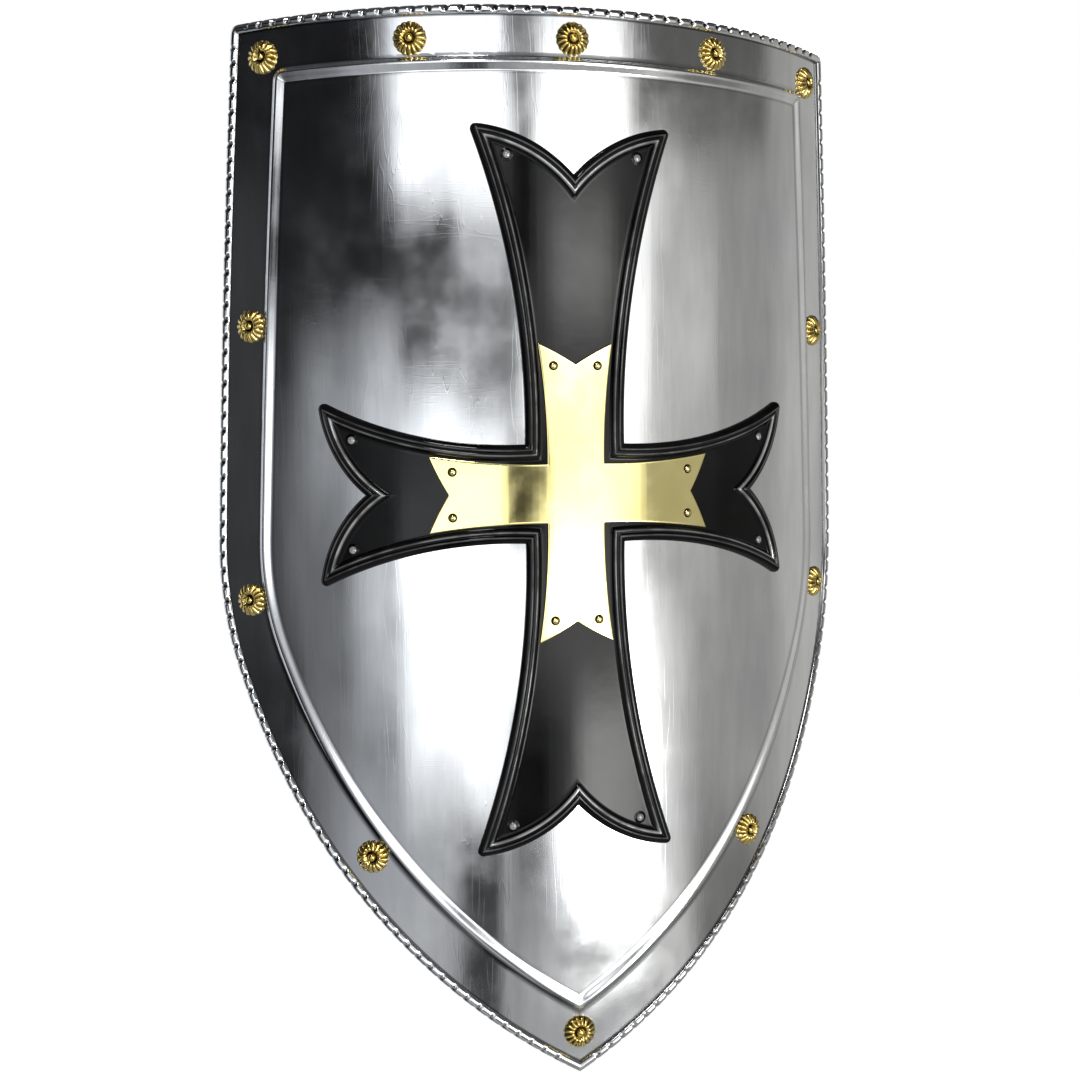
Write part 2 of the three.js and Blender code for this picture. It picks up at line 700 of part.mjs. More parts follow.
function rosettePlaces() {
  const top = inset(TOP, TOP_ROSETTE_INSET);
  const tip = lowestOnAxis(LOWER);
  const topMiddle = [0, highestOnAxis(top)[1]];
  const topU = TOP_ROSETTE_SHARES[1] * shieldCorner(0, 0)[0];
  const topSide = [topU, top.v + Math.sqrt(top.radius ** 2 - topU ** 2)];
  const pairs = [
    ["top_inner", topSide],
    ["corner", shieldCorner(CORNER_ROSETTE.topInset, CORNER_ROSETTE.sideInset)],
    ["side_upper", sideRosette(SIDE_ROSETTE_HEIGHT_SHARES[0] * CROWN_HEIGHT)],
    ["side_lower", sideRosette(SIDE_ROSETTE_HEIGHT_SHARES[1] * CROWN_HEIGHT)],
    ["flank", sideRosette(LOWER_ROSETTE_HEIGHT_SHARE * CROWN_HEIGHT)],
  ];
  return [
    { name: "top_middle", u: topMiddle[0], v: topMiddle[1] },
    { name: "tip", u: 0, v: tip[1] + TIP_ROSETTE_RISE },
    ...pairs.flatMap(([name, [u, v]]) => [
      { name: `${name}_left`, u: -u, v },
      { name: `${name}_right`, u, v },
    ]),
  ];
}

const ROSETTES = rosettePlaces();

function meshOf(name, geometry, material, frame) {
  const mesh = new THREE.Mesh(geometry, material);
  mesh.name = name;
  if (frame) mesh.applyMatrix4(frame);
  return mesh;
}

function rivetMeshes(rivets, sizes, seat, material) {
  const geometry = rivetGeometry(sizes, seat + 2 * GAP + PLATE_SHEET + FACET_SAG);
  return rivets.map(({ name, u, v }) => meshOf(name, geometry, material, frontFrame(u, v, seat + GAP)));
}

function frontMeshes() {
  const plate = drilled(pressedSheet(plateRings()), ROSETTES, ROSETTE_RIVET.shank);
  const holes = [...CROSS_RIVETS, ...BRASS_RIVETS];
  const rosette = rosetteGeometry();
  const rosetteRivets = ROSETTES.map((place) => ({ ...place, name: `rosette_rivet_${place.name}` }));
  return [
    meshOf("shield_plate", drilled(plate, holes, CROSS_RIVET.shank), STEEL),
    meshOf("roped_rim", rimGeometry(), STEEL),
    meshOf("black_cross", drilled(pressedSheet(blackCrossRings()), holes, CROSS_RIVET.shank), BLACK),
    meshOf("brass_cross", drilled(pressedSheet(brassCrossRings()), BRASS_RIVETS, CROSS_RIVET.shank), BRASS),
    ...ROSETTES.map(({ name, u, v }) => meshOf(`rosette_${name}`, rosette, BRASS, frontFrame(u, v, GAP))),
    ...rivetMeshes(rosetteRivets, ROSETTE_RIVET, GAP + ROSETTE.boreHeight, BRASS),
    ...rivetMeshes(CROSS_RIVETS, CROSS_RIVET, FIELD_TOP, BLACK),
    ...rivetMeshes(BRASS_RIVETS, CROSS_RIVET, BRASS_TOP, BRASS),
  ];
}

// Behind the plate, a strap is drawn as its edge: y up the plate and z away from it, extruded across
const EDGE_TO_LOCAL = new THREE.Matrix4().makeBasis(
  new THREE.Vector3(0, 1, 0),
  new THREE.Vector3(0, 0, 1),
  new THREE.Vector3(1, 0, 0),
);

function acrossStrap(points, width, holes = []) {
  const shape = new THREE.Shape(points.map(([y, z]) => new THREE.Vector2(y, z)));
  shape.holes = holes.map((hole) => new THREE.Path(hole.map(([y, z]) => new THREE.Vector2(y, z))));
  const solid = new THREE.ExtrudeGeometry(shape, { depth: width, bevelEnabled: false });
  return solid.translate(0, 0, -width / 2).applyMatrix4(EDGE_TO_LOCAL);
}

// The two sides of a band of leather that follows a middle line, mitred at its bends
function ribbon(line, thickness) {
  const sides = line.map(([y, z], i) => {
    const before = line[Math.max(i - 1, 0)];
    const after = line[Math.min(i + 1, line.length - 1)];
    const into = Math.atan2(z - before[1], y - before[0]);
    const out = Math.atan2(after[1] - z, after[0] - y);
    const start = i === 0 ? out : into;
    const end = i === line.length - 1 ? into : out;
    const turn = Math.atan2(Math.sin(end - start), Math.cos(end - start));
    const angle = start + turn / 2 + Math.PI / 2;
    const reach = thickness / 2 / Math.cos(turn / 2);
    return [y, z, Math.cos(angle) * reach, Math.sin(angle) * reach];
  });
  const upper = sides.map(([y, z, dy, dz]) => [y + dy, z + dz]);
  const lower = sides.map(([y, z, dy, dz]) => [y - dy, z - dz]);
  return [...upper.reverse(), ...lower];
}

// A closed band with cut corners round a bar: half sizes of its hole, and its thickness
function fold(centreY, centreZ, halfY, halfZ, thickness) {
  const outline = (y, z, cut) => [
    [centreY + y, centreZ - z + cut],
    [centreY + y, centreZ + z - cut],
    [centreY + y - cut, centreZ + z],
    [centreY - y + cut, centreZ + z],
    [centreY - y, centreZ + z - cut],
    [centreY - y, centreZ - z + cut],
    [centreY - y + cut, centreZ - z],
    [centreY + y - cut, centreZ - z],
  ];
  const outer = outline(halfY + thickness, halfZ + thickness, thickness * FOLD_CORNER_SHARES.outer);
  return { outer, inner: outline(halfY, halfZ, thickness * FOLD_CORNER_SHARES.inner) };
}

const BRACKET_BAR_MIDDLE = BRACKET.inside + BRACKET.thickness / 2;

function bracketFold(y, thickness) {
  const halfY = BRACKET.depth / 2 + FOLD_PLAY;
  return fold(y, BRACKET_BAR_MIDDLE, halfY, BRACKET.thickness / 2 + GAP, thickness);
}

// A bridge of flat bar whose feet follow the plate's hollow
function bracketGeometry() {
  const inner = STRAP_WIDTH / 2 + BRACKET.play;
  const outer = inner + BRACKET.thickness;
  const end = outer + BRACKET.foot;
  const seat = (x) => BEND_RADIUS - Math.sqrt(BEND_RADIUS ** 2 - x ** 2) + GAP;
  const top = BRACKET.inside + BRACKET.thickness;
  const right = [
    [inner, BRACKET.inside],
    [inner, seat(inner)],
    [end, seat(end)],
    [end, seat(end) + BRACKET.thickness],
    [outer, seat(outer) + BRACKET.thickness],
    [outer, top],
  ];
  const left = [...right].reverse().map(([x, z]) => [-x, z]);
  const shape = new THREE.Shape([...right, ...left].map(([x, z]) => new THREE.Vector2(x, z)));
  const solid = new THREE.ExtrudeGeometry(shape, { depth: BRACKET.depth, bevelEnabled: false });
  return solid.rotateX(Math.PI / 2).translate(0, BRACKET.depth / 2, 0);
}

// The leg of a strap from a bracket's fold at y towards (toY, toZ), with its lapped and riveted end
function strapLeg(y, toY, toZ, thickness) {
  const loop = bracketFold(y, STRAP_THICKNESS);
  const inward = y > 0 ? -1 : 1;
  const wall = BRACKET.depth / 2 + FOLD_PLAY + STRAP_THICKNESS / 2;
  const start = [y + inward * wall, BRACKET_BAR_MIDDLE];
  const length = Math.hypot(toY - start[0], toZ - start[1]);
  const along = [(toY - start[0]) / length, (toZ - start[1]) / length];
  const outward = [along[1] * -inward, along[0] * inward];
  const aside = (thickness + STRAP_THICKNESS) / 2 - LAP_BITE;
  const at = (distanceAlong, distanceOut) => [
    start[0] + along[0] * distanceAlong + outward[0] * distanceOut,
    start[1] + along[1] * distanceAlong + outward[1] * distanceOut,
  ];
  const lapStart = (BRACKET.thickness + GAP + STRAP_THICKNESS) / along[1];
  const lap = ribbon([at(lapStart, aside), at(lapStart + LAP_LENGTH, aside)], STRAP_THICKNESS);
  const rivetAlong = lapStart + STRAP_RIVET_ALONG;
  return { loop, start, lap, rivet: { at: at(rivetAlong, aside + STRAP_THICKNESS / 2 + GAP), outward } };
}

function joined(geometries) {
  return geometries.map(solidOf).reduce((all, solid) => all.add(solid));
}

// The hole for a strap rivet, in the strap's own frame
function strapRivetFrame({ at, outward }) {
  const out = new THREE.Vector3(0, outward[0], outward[1]);
  const across = new THREE.Vector3(1, 0, 0);
  const frame = new THREE.Matrix4().makeBasis(across, out.clone().cross(across), out);
  return frame.setPosition(0, at[0], at[1]);
}

function strapRivetHole(rivet, depth) {
  const radius = STRAP_RIVET.shank + GAP;
  const length = depth + 2 * CUT_OVERRUN;
  const hole = new THREE.CylinderGeometry(radius, radius, length, RIVET_SIDES);
  hole.rotateX(Math.PI / 2).translate(0, 0, CUT_OVERRUN - length / 2);
  return solidOf(hole.applyMatrix4(strapRivetFrame(rivet)));
}

function foldSolid({ outer, inner }) {
  return acrossStrap(outer, STRAP_WIDTH, [inner]);
}

function strapRivetMesh(name, rivet, thickness, frame) {
  const geometry = rivetGeometry(STRAP_RIVET, thickness + STRAP_THICKNESS + 2 * GAP);
  return meshOf(name, geometry, IRON, frame.clone().multiply(strapRivetFrame(rivet)));
}

function gripMeshes(frame) {
  const upper = strapLeg(GRIP_REACH, GRIP_FLAT, GRIP_HEIGHT, GRIP_THICKNESS);
  const lower = strapLeg(-GRIP_REACH, -GRIP_FLAT, GRIP_HEIGHT, GRIP_THICKNESS);
  const line = [lower.start, [-GRIP_FLAT, GRIP_HEIGHT], [GRIP_FLAT, GRIP_HEIGHT], upper.start];
  const leather = joined([
    foldSolid(upper.loop),
    foldSolid(lower.loop),
    acrossStrap(upper.lap, STRAP_WIDTH),
    acrossStrap(lower.lap, STRAP_WIDTH),
    acrossStrap(ribbon(line, GRIP_THICKNESS), STRAP_WIDTH),
  ]);
  const depth = GRIP_THICKNESS + STRAP_THICKNESS;
  const cut = [upper, lower].reduce((all, leg) => all.subtract(strapRivetHole(leg.rivet, depth)), leather);
  return [
    meshOf("hand_grip", geometryOf(cut), LEATHER, frame),
    strapRivetMesh("grip_rivet_upper", upper.rivet, GRIP_THICKNESS, frame),
    strapRivetMesh("grip_rivet_lower", lower.rivet, GRIP_THICKNESS, frame),
  ];
}

// The half of the forearm strap that carries the buckle, open in the middle for the tongue
function buckleStrapMeshes(frame) {
  const leg = strapLeg(ARM_REACH, ARM_FLAT, ARM_HEIGHT, STRAP_THICKNESS);
  const heel = fold(0, ARM_HEIGHT, HEEL_ROOM, HEEL_ROOM, STRAP_THICKNESS);
  const run = HEEL_ROOM + STRAP_THICKNESS / 2;
  const line = [[run, ARM_HEIGHT], [ARM_FLAT, ARM_HEIGHT], leg.start];
  const under = ARM_HEIGHT - STRAP_THICKNESS + LAP_BITE;
  const lap = ribbon([[run, under], [run + HEEL_LAP_LENGTH, under]], STRAP_THICKNESS);
  const leather = joined([
    foldSolid(leg.loop),
    foldSolid(heel),
    acrossStrap(leg.lap, STRAP_WIDTH),
    acrossStrap(lap, STRAP_WIDTH),
    acrossStrap(ribbon(line, STRAP_THICKNESS), STRAP_WIDTH),
  ]);
  const eye = HEEL_ROOM + TONGUE.ring;
  const reach = Math.hypot(eye, eye - TONGUE.ring * FOLD_CORNER_SHARES.outer) + TONGUE_ROOM;
  const room = new THREE.BoxGeometry(TONGUE.width + 2 * TONGUE_ROOM, 2 * reach + CUT_OVERRUN, 3 * reach);
  room.translate(0, -CUT_OVERRUN / 2, ARM_HEIGHT);
  const cut = leather.subtract(solidOf(room)).subtract(strapRivetHole(leg.rivet, 2 * STRAP_THICKNESS));
  return [
    meshOf("buckle_strap", geometryOf(cut), LEATHER, frame),
    strapRivetMesh("buckle_strap_rivet", leg.rivet, STRAP_THICKNESS, frame),
  ];
}

const FRAME_HALF_THICKNESS = FRAME.thickness / 2;
const TAIL_UNDER = ARM_HEIGHT - FRAME_HALF_THICKNESS - GAP - STRAP_THICKNESS / 2;
const TAIL_OVER = ARM_HEIGHT + HEEL_ROOM + STRAP_THICKNESS + LIFT + STRAP_THICKNESS / 2;
const TAIL_REST = ARM_HEIGHT + STRAP_THICKNESS + LIFT;

// The half with the hole: it passes under the frame's front bar, over its heel bar and into the keeper
function tailStrapMeshes(frame) {
  const leg = strapLeg(-ARM_REACH, -ARM_FLAT, TAIL_UNDER, STRAP_THICKNESS);
  const line = [
    leg.start,
    [-ARM_FLAT, TAIL_UNDER],
    [-TAIL_RISE.start, TAIL_UNDER],
    [-TAIL_RISE.top, TAIL_OVER],
    [TAIL_RISE.top, TAIL_OVER],
    [TAIL_RISE.settle, TAIL_REST],
    [TAIL_END, TAIL_REST],
  ];
  const leather = joined([
    foldSolid(leg.loop),
    acrossStrap(leg.lap, STRAP_WIDTH),
    acrossStrap(ribbon(line, STRAP_THICKNESS), STRAP_WIDTH),
  ]);
  const slotLength = SLOT.far - SLOT.near;
  const slot = new THREE.BoxGeometry(TONGUE.width + 2 * TONGUE_ROOM, slotLength, 2 * slotLength);
  slot.translate(0, -(SLOT.far + SLOT.near) / 2, ARM_HEIGHT);
  const cut = leather.subtract(solidOf(slot)).subtract(strapRivetHole(leg.rivet, 2 * STRAP_THICKNESS));
  return [
    meshOf("tail_strap", geometryOf(cut), LEATHER, frame),
    strapRivetMesh("tail_strap_rivet", leg.rivet, STRAP_THICKNESS, frame),
  ];
}

function roundedRectangle(target, halfX, [lowY, highY], corner) {
  target.moveTo(halfX, lowY + corner);
  target.lineTo(halfX, highY - corner);
  target.quadraticCurveTo(halfX, highY, halfX - corner, highY);
  target.lineTo(corner - halfX, highY);
  target.quadraticCurveTo(-halfX, highY, -halfX, highY - corner);
  target.lineTo(-halfX, lowY + corner);
  target.quadraticCurveTo(-halfX, lowY, corner - halfX, lowY);
  target.lineTo(halfX - corner, lowY);
  target.quadraticCurveTo(halfX, lowY, halfX, lowY + corner);
  return target;
}

function frameGeometry() {
  const half = FRAME.bar / 2;
  const inner = STRAP_WIDTH / 2 + FRAME.play;
  const outside = [-FRAME.reach - half, half];
  const shape = roundedRectangle(new THREE.Shape(), inner + FRAME.bar, outside, FRAME.corner);
  const opening = roundedRectangle(new THREE.Path(), inner, [half - FRAME.reach, -half], FRAME.corner / 2);
  shape.holes = [opening];
  const settings = { depth: FRAME.thickness, bevelEnabled: false, curveSegments: 3 };
  return new THREE.ExtrudeGeometry(shape, settings).translate(0, 0, ARM_HEIGHT - FRAME_HALF_THICKNESS);
}

// The tongue: an eye round the heel bar and a shaft that rests on the front bar
function tongueGeometry() {
  const eye = fold(0, 0, HEEL_ROOM, HEEL_ROOM, TONGUE.ring);
  const rest = FRAME_HALF_THICKNESS + GAP + TONGUE.thickness / 2;
  const slope = Math.atan2(rest, FRAME.reach);
  const far = (FRAME.reach + FRAME.bar / 2) / Math.cos(slope) + TONGUE.overhang;
  const near = HEEL_ROOM + TONGUE.ring / 2;
  const shaft = ribbon([[-near, 0], [-far, 0]], TONGUE.thickness);
  const solid = joined([
    acrossStrap(eye.outer, TONGUE.width, [eye.inner]),
    acrossStrap(shaft, TONGUE.width),
  ]);
  const turned = geometryOf(solid).applyMatrix4(new THREE.Matrix4().makeRotationX(-slope));
  return turned.translate(0, 0, ARM_HEIGHT);
}

function keeperGeometry() {
  const { length, thickness, play, centre } = KEEPER;
  const inner = STRAP_WIDTH / 2 + play;
  const low = ARM_HEIGHT - STRAP_THICKNESS / 2 - play;
  const high = TAIL_REST + STRAP_THICKNESS / 2 + play;
  const outerCorner = thickness * FOLD_CORNER_SHARES.outer;
  const innerCorner = thickness * FOLD_CORNER_SHARES.inner;
  const outside = [low - thickness, high + thickness];
  const shape = roundedRectangle(new THREE.Shape(), inner + thickness, outside, outerCorner);
  shape.holes = [roundedRectangle(new THREE.Path(), inner, [low, high], innerCorner)];
  const settings = { depth: length, bevelEnabled: false, curveSegments: 2 };
  const solid = new THREE.ExtrudeGeometry(shape, settings);
  return solid.rotateX(Math.PI / 2).translate(0, centre + length / 2, 0);
}

function strapMeshes() {
  const bracket = bracketGeometry();
  const brackets = [
    ["grip_bracket_upper", -STRAP_OFFSET, GRIP_REACH],
    ["grip_bracket_lower", -STRAP_OFFSET, -GRIP_REACH],
    ["arm_bracket_upper", STRAP_OFFSET, ARM_REACH],
    ["arm_bracket_lower", STRAP_OFFSET, -ARM_REACH],
  ];
  const arm = backFrame(STRAP_OFFSET, 0);
  return [
    ...brackets.map(([name, u, v]) => meshOf(name, bracket, IRON, backFrame(u, v))),
    ...gripMeshes(backFrame(-STRAP_OFFSET, 0)),
    ...buckleStrapMeshes(arm),
    ...tailStrapMeshes(arm),
    meshOf("buckle_frame", frameGeometry(), IRON, arm),
    meshOf("buckle_tongue", tongueGeometry(), IRON, arm),
    meshOf("strap_keeper", keeperGeometry(), LEATHER, arm),
  ];
}

const shield = new THREE.Group();
shield.add(...frontMeshes(), ...strapMeshes());

export default shield;
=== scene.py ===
# %% [markdown]
# # Lesson: a crusader's heater shield
# The real shield is one sheet of polished steel, cut to a heater outline and rolled to a curve about an
# upright axis. A bead is pressed beside its border, its edge is rolled over and nicked like a rope, and a
# black cross and a brass cross are riveted on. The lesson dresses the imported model, which fixes every size
# and place, with fine surfaces and finishes, and then sets up the studio.

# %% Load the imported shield
import math

import bmesh
import bpy
import numpy as np
from mathutils import Matrix, Vector


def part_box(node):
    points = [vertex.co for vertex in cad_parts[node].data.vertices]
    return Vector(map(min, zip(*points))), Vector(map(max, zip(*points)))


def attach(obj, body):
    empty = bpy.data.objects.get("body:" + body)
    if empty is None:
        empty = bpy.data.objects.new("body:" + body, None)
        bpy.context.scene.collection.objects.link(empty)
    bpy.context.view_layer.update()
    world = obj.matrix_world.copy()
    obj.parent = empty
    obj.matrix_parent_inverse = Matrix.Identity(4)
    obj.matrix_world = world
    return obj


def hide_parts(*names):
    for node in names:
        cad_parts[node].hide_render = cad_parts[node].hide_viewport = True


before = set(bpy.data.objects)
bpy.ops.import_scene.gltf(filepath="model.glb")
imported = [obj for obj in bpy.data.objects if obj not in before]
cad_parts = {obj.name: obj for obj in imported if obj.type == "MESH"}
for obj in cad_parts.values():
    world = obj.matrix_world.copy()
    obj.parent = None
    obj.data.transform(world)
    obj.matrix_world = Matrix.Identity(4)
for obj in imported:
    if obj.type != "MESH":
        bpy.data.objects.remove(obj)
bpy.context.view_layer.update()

bpy.context.scene.view_settings.view_transform = "Standard"
MM = 0.001

# %% [markdown]
# ## Drawing flat and bending later
# A metalworker draws the outline on a flat sheet, presses the bead and rolls the curve last. The script does
# the same: u runs across the sheet, v up it and w out of its front, and one function rolls the points round
# an upright axis. Drawing on the curved shield itself would need every line to be worked out in space.

# %% Roll the flat sheet
BEND_RADIUS = 301 * MM
ARM_DEPTH = 45 * MM
PLATE_SHEET = 1.2 * MM


def rolled(u, v, w):
    """The place in the shield's frame of a point of the flat sheet."""
    angle = u / BEND_RADIUS
    radius = BEND_RADIUS + w
    return (radius * math.sin(angle), BEND_RADIUS - ARM_DEPTH - radius * math.cos(angle), v)


def unrolled(point):
    """The place on the flat sheet that lies under a point of the shield's frame."""
    angle = math.atan2(point.x, BEND_RADIUS - ARM_DEPTH - point.y)
    radius = math.hypot(point.x, BEND_RADIUS - ARM_DEPTH - point.y)
    return angle * BEND_RADIUS, point.z, radius - BEND_RADIUS


plate_low, plate_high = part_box("shield_plate")
_, rim_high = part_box("roped_rim")
print("plate from %.0f to %.0f mm high" % (plate_low.z / MM, plate_high.z / MM))

# %% [markdown]
# ## The outline as arcs
# A heater shield's outline is a few arcs of a compass: a long crown arc, a nearly straight side, a shoulder
# and a long lower arc that meets its mirror image in the point. A circle moved inwards keeps its centre, so
# the border, the bead and the panel all come from the same four circles at different distances.

# %% Arcs of the outline
CROWN_HEIGHT = rim_high.z
TOP_RADIUS = 8300 * MM
SHOULDER_HALF_WIDTH = 254.5 * MM
SHOULDER_DROP = 37 * MM
SHOULDER_RADIUS = 220 * MM
SIDE_RADIUS = 9000 * MM
LOWER_RADIUS = 545 * MM
SIDE_LEAN = math.radians(2.3)
LOWER_START = math.radians(22)


class Arc:
    """A circle of the flat sheet; side is 1 where the sheet lies inside it and -1 where it lies outside."""

    def __init__(self, u, v, radius, side=1):
        self.u, self.v, self.radius, self.side = u, v, radius, side

    def inset(self, distance):
        return Arc(self.u, self.v, self.radius - self.side * distance, self.side)

    def at(self, angle):
        return (self.u + self.radius * math.cos(angle), self.v + self.radius * math.sin(angle))

    def axis_crossing(self, sign):
        """Where the circle crosses the middle line, above its centre for 1 and below it for -1."""
        return (0.0, self.v + sign * math.sqrt(self.radius**2 - self.u**2))

    def points(self, start, end, steps):
        """Points from one point of the circle towards another, without the last."""
        a = math.atan2(start[1] - self.v, start[0] - self.u)
        b = math.atan2(end[1] - self.v, end[0] - self.u)
        turn = math.atan2(math.sin(b - a), math.cos(b - a))
        return [self.at(a + turn * i / steps) for i in range(steps)]


def meeting(first, second, near):
    """The meeting point of two circles that lies nearer to a given point."""
    du, dv = second.u - first.u, second.v - first.v
    apart = math.hypot(du, dv)
    along = (apart**2 + first.radius**2 - second.radius**2) / (2 * apart)
    off = math.sqrt(max(first.radius**2 - along**2, 0))
    middle = (first.u + du * along / apart, first.v + dv * along / apart)
    found = [(middle[0] - s * dv * off / apart, middle[1] + s * du * off / apart) for s in (1, -1)]
    return min(found, key=lambda p: math.hypot(p[0] - near[0], p[1] - near[1]))


def beside_shoulder(radius, direction):
    shift = SHOULDER_RADIUS - radius
    u = SHOULDER_HALF_WIDTH - SHOULDER_RADIUS + shift * math.cos(direction)
    return Arc(u, -SHOULDER_DROP + shift * math.sin(direction), radius)


crown_arc = Arc(0, CROWN_HEIGHT - TOP_RADIUS, TOP_RADIUS)
shoulder_arc = Arc(SHOULDER_HALF_WIDTH - SHOULDER_RADIUS, -SHOULDER_DROP, SHOULDER_RADIUS)
side_arc = beside_shoulder(SIDE_RADIUS, SIDE_LEAN)
lower_arc = beside_shoulder(LOWER_RADIUS, -LOWER_START)


def corner_of(top_inset, side_inset):
    near = (SHOULDER_HALF_WIDTH, CROWN_HEIGHT)
    return meeting(crown_arc.inset(top_inset), side_arc.inset(side_inset), near)


STEPS = {"lower": 44, "shoulder": 12, "side": 24, "corner": 8, "top": 24}


def outline(top_inset, side_inset, corner_radius):
    """A closed loop from the tip up the right side and round, at given distances inside the outline."""
    top = crown_arc.inset(top_inset)
    side, shoulder, lower = (arc.inset(side_inset) for arc in (side_arc, shoulder_arc, lower_arc))
    middle = corner_of(top_inset + corner_radius, side_inset + corner_radius)
    corner = Arc(middle[0], middle[1], corner_radius)
    side_angle = math.atan2(middle[1] - side.v, middle[0] - side.u)
    top_angle = math.atan2(middle[1] - top.v, middle[0] - top.u)
    hip, lean = shoulder.at(-LOWER_START), shoulder.at(SIDE_LEAN)
    right = lower.points(lower.axis_crossing(-1), hip, STEPS["lower"])
    right += shoulder.points(hip, lean, STEPS["shoulder"])
    right += side.points(lean, side.at(side_angle), STEPS["side"])
    right += corner.points(corner.at(side_angle), corner.at(top_angle), STEPS["corner"])
    right += top.points(top.at(top_angle), top.axis_crossing(1), STEPS["top"])
    right += [top.axis_crossing(1)]
    return right + [(-u, v) for u, v in reversed(right[1:-1])]


print("the corner is %.0f mm out and %.0f mm up" % tuple(c / MM for c in corner_of(0, 0)))

# %% [markdown]
# ## A pressed sheet
# Pressing lifts the sheet along lines that follow an outline. So a pressed sheet is a set of nested loops,
# each at its own height, joined by quads, and the innermost loop is one flat face. That face and the quads
# are then cut along upright lines a few millimetres apart, so that rolling bends them smoothly. Bisecting
# keeps the loops exact, which a remesh wouldn't.

# %% Helpers for meshes
def join_rings(bm, first, second):
    """A closed band of faces between two rings of points, either of which may be a single point."""
    around = max(len(first), len(second))
    for i in range(around):
        j = (i + 1) % around
        if len(first) == 1:
            bm.faces.new((first[0], second[j], second[i]))
        elif len(second) == 1:
            bm.faces.new((first[i], first[j], second[0]))
        else:
            bm.faces.new((first[i], first[j], second[j], second[i]))


def mesh_from(bm, name):
    mesh = bpy.data.meshes.new(name)
    bm.to_mesh(mesh)
    bm.free()
    return mesh


def smooth_mesh(bm, name):
    """A mesh from a finished bmesh, with smooth shading."""
    mesh = mesh_from(bm, name)
    mesh.polygons.foreach_set("use_smooth", [True] * len(mesh.polygons))
    return mesh


def linked(name, mesh):
    """An object that shows a mesh, put in the scene."""
    piece = bpy.data.objects.new(name, mesh)
    bpy.context.scene.collection.objects.link(piece)
    return piece


print("helpers for meshes are ready")

# %% Make a sheet from nested loops
COLUMN = 5 * MM
CUT_TOLERANCE = 1e-6


def for_each(value, loop):
    """One value for each point of a loop, where a single number may stand for all of them."""
    return value if isinstance(value, list) else [value] * len(loop)


def cut_columns(bm, reach):
    """Cuts the flat sheet along upright lines, so that it can be rolled."""
    columns = int(reach / COLUMN)
    for k in range(-columns, columns + 1):
        everything = bm.verts[:] + bm.edges[:] + bm.faces[:]
        line = (k * COLUMN, 0, 0)
        bmesh.ops.bisect_plane(bm, geom=everything, plane_co=line, plane_no=(1, 0, 0), dist=CUT_TOLERANCE)


def pressed_sheet(name, loops, heights, thickness, wear_and_painted_light=None):
    """A rolled sheet whose front passes through the loops, outermost first, at their heights."""
    bm = bmesh.new()
    marking = bm.verts.layers.float.new("edge")
    rings = []
    # Each point's mark: painted shade on the plate, thinned paint and a painted highlight on the cross's
    # ridges
    for loop, height, share in zip(loops, heights, wear_and_painted_light or [0.0] * len(loops)):
        rings.append([bm.verts.new((u, v, w)) for (u, v), w in zip(loop, for_each(height, loop))])
        for vert, mark in zip(rings[-1], for_each(share, loop)):
            vert[marking] = mark
    for outer, inner in zip(rings, rings[1:]):
        join_rings(bm, outer, inner)
    bm.faces.new(rings[-1])
    cut_columns(bm, max(abs(u) for u, v in loops[0]))
    for vert in bm.verts:
        vert.co = rolled(*vert.co)
    bmesh.ops.recalc_face_normals(bm, faces=bm.faces[:])
    front = sum((face.normal * face.calc_area() for face in bm.faces), Vector())
    if front.y > 0:
        bmesh.ops.reverse_faces(bm, faces=bm.faces[:])
    piece = linked(name, smooth_mesh(bm, name))
    solid = piece.modifiers.new("thickness", "SOLIDIFY")
    solid.thickness = thickness
    solid.offset = -1
    solid.use_even_offset = True
    return piece


def smooth(t):
    t = min(max(t, 0.0), 1.0)
    return t * t * (3 - 2 * t)


print("a column every %.0f mm" % (COLUMN / MM))

# %% [markdown]
# ## The steel plate
# The plate is flat in its border and in its panel, and the bead between them has a steep outer side and a
# gentle inner one, as a roller leaves it. Its height is one small formula of the distance across the bead.
# Left of the tip the bead is shallower, where the roller had less room, and painted shade darkens its creases
# and inner slope there.
# The sheet runs on under the rolled edge, so no gap shows between the two, and painted shade darkens the
# crease beside that edge.

# %% The plate with its bead
TOP_BORDER = 32.4 * MM
SIDE_BORDER = 35.5 * MM
BEAD_WIDTH = 9.8 * MM
BEAD_HEIGHT = 2.35 * MM
BEAD_CREST = 0.36
BEAD_CORNER = 8.5 * MM
BORDER_CORNER = 1.5 * MM
RIM_RADIUS = 3.2 * MM


def bead_height(share):
    if share < BEAD_CREST:
        return BEAD_HEIGHT * smooth(share / BEAD_CREST)
    return BEAD_HEIGHT * smooth((1 - share) / (1 - BEAD_CREST))


def beside_bead(distance):
    """The loop at a distance inside the bead's outer line, whose top corners are rounded."""
    radius = max(BEAD_CORNER - distance, BORDER_CORNER)
    return outline(TOP_BORDER + distance, SIDE_BORDER + distance, radius)


TIP_START = 25 * MM
TIP_FADE = 110 * MM


def near_tip(u, v):
    """1 left of the tip, a quarter right of it and 0 in the upper part."""
    return smooth((-v - TIP_START) / TIP_FADE) * (1 - 0.75 * smooth((u + 15 * MM) / (30 * MM)))


def along_loop(loop, upper, lower):
    """A value for each point of a loop that goes from upper to lower towards the tip."""
    return [upper + (lower - upper) * near_tip(u, v) for u, v in loop]


BEAD_LOOPS = 18
bead_shares = [i / BEAD_LOOPS for i in range(BEAD_LOOPS + 1)]
border_shares = [0.3, 0.5, 0.75, 0.92]
# Distances from the outline, and the painted shade that darkens the crease beside the rolled edge there
CREASE_SHADE = [(RIM_RADIUS, 0.9), (6.3 * MM, 0.9), (6.9 * MM, 0.6), (7.7 * MM, 0.0)]
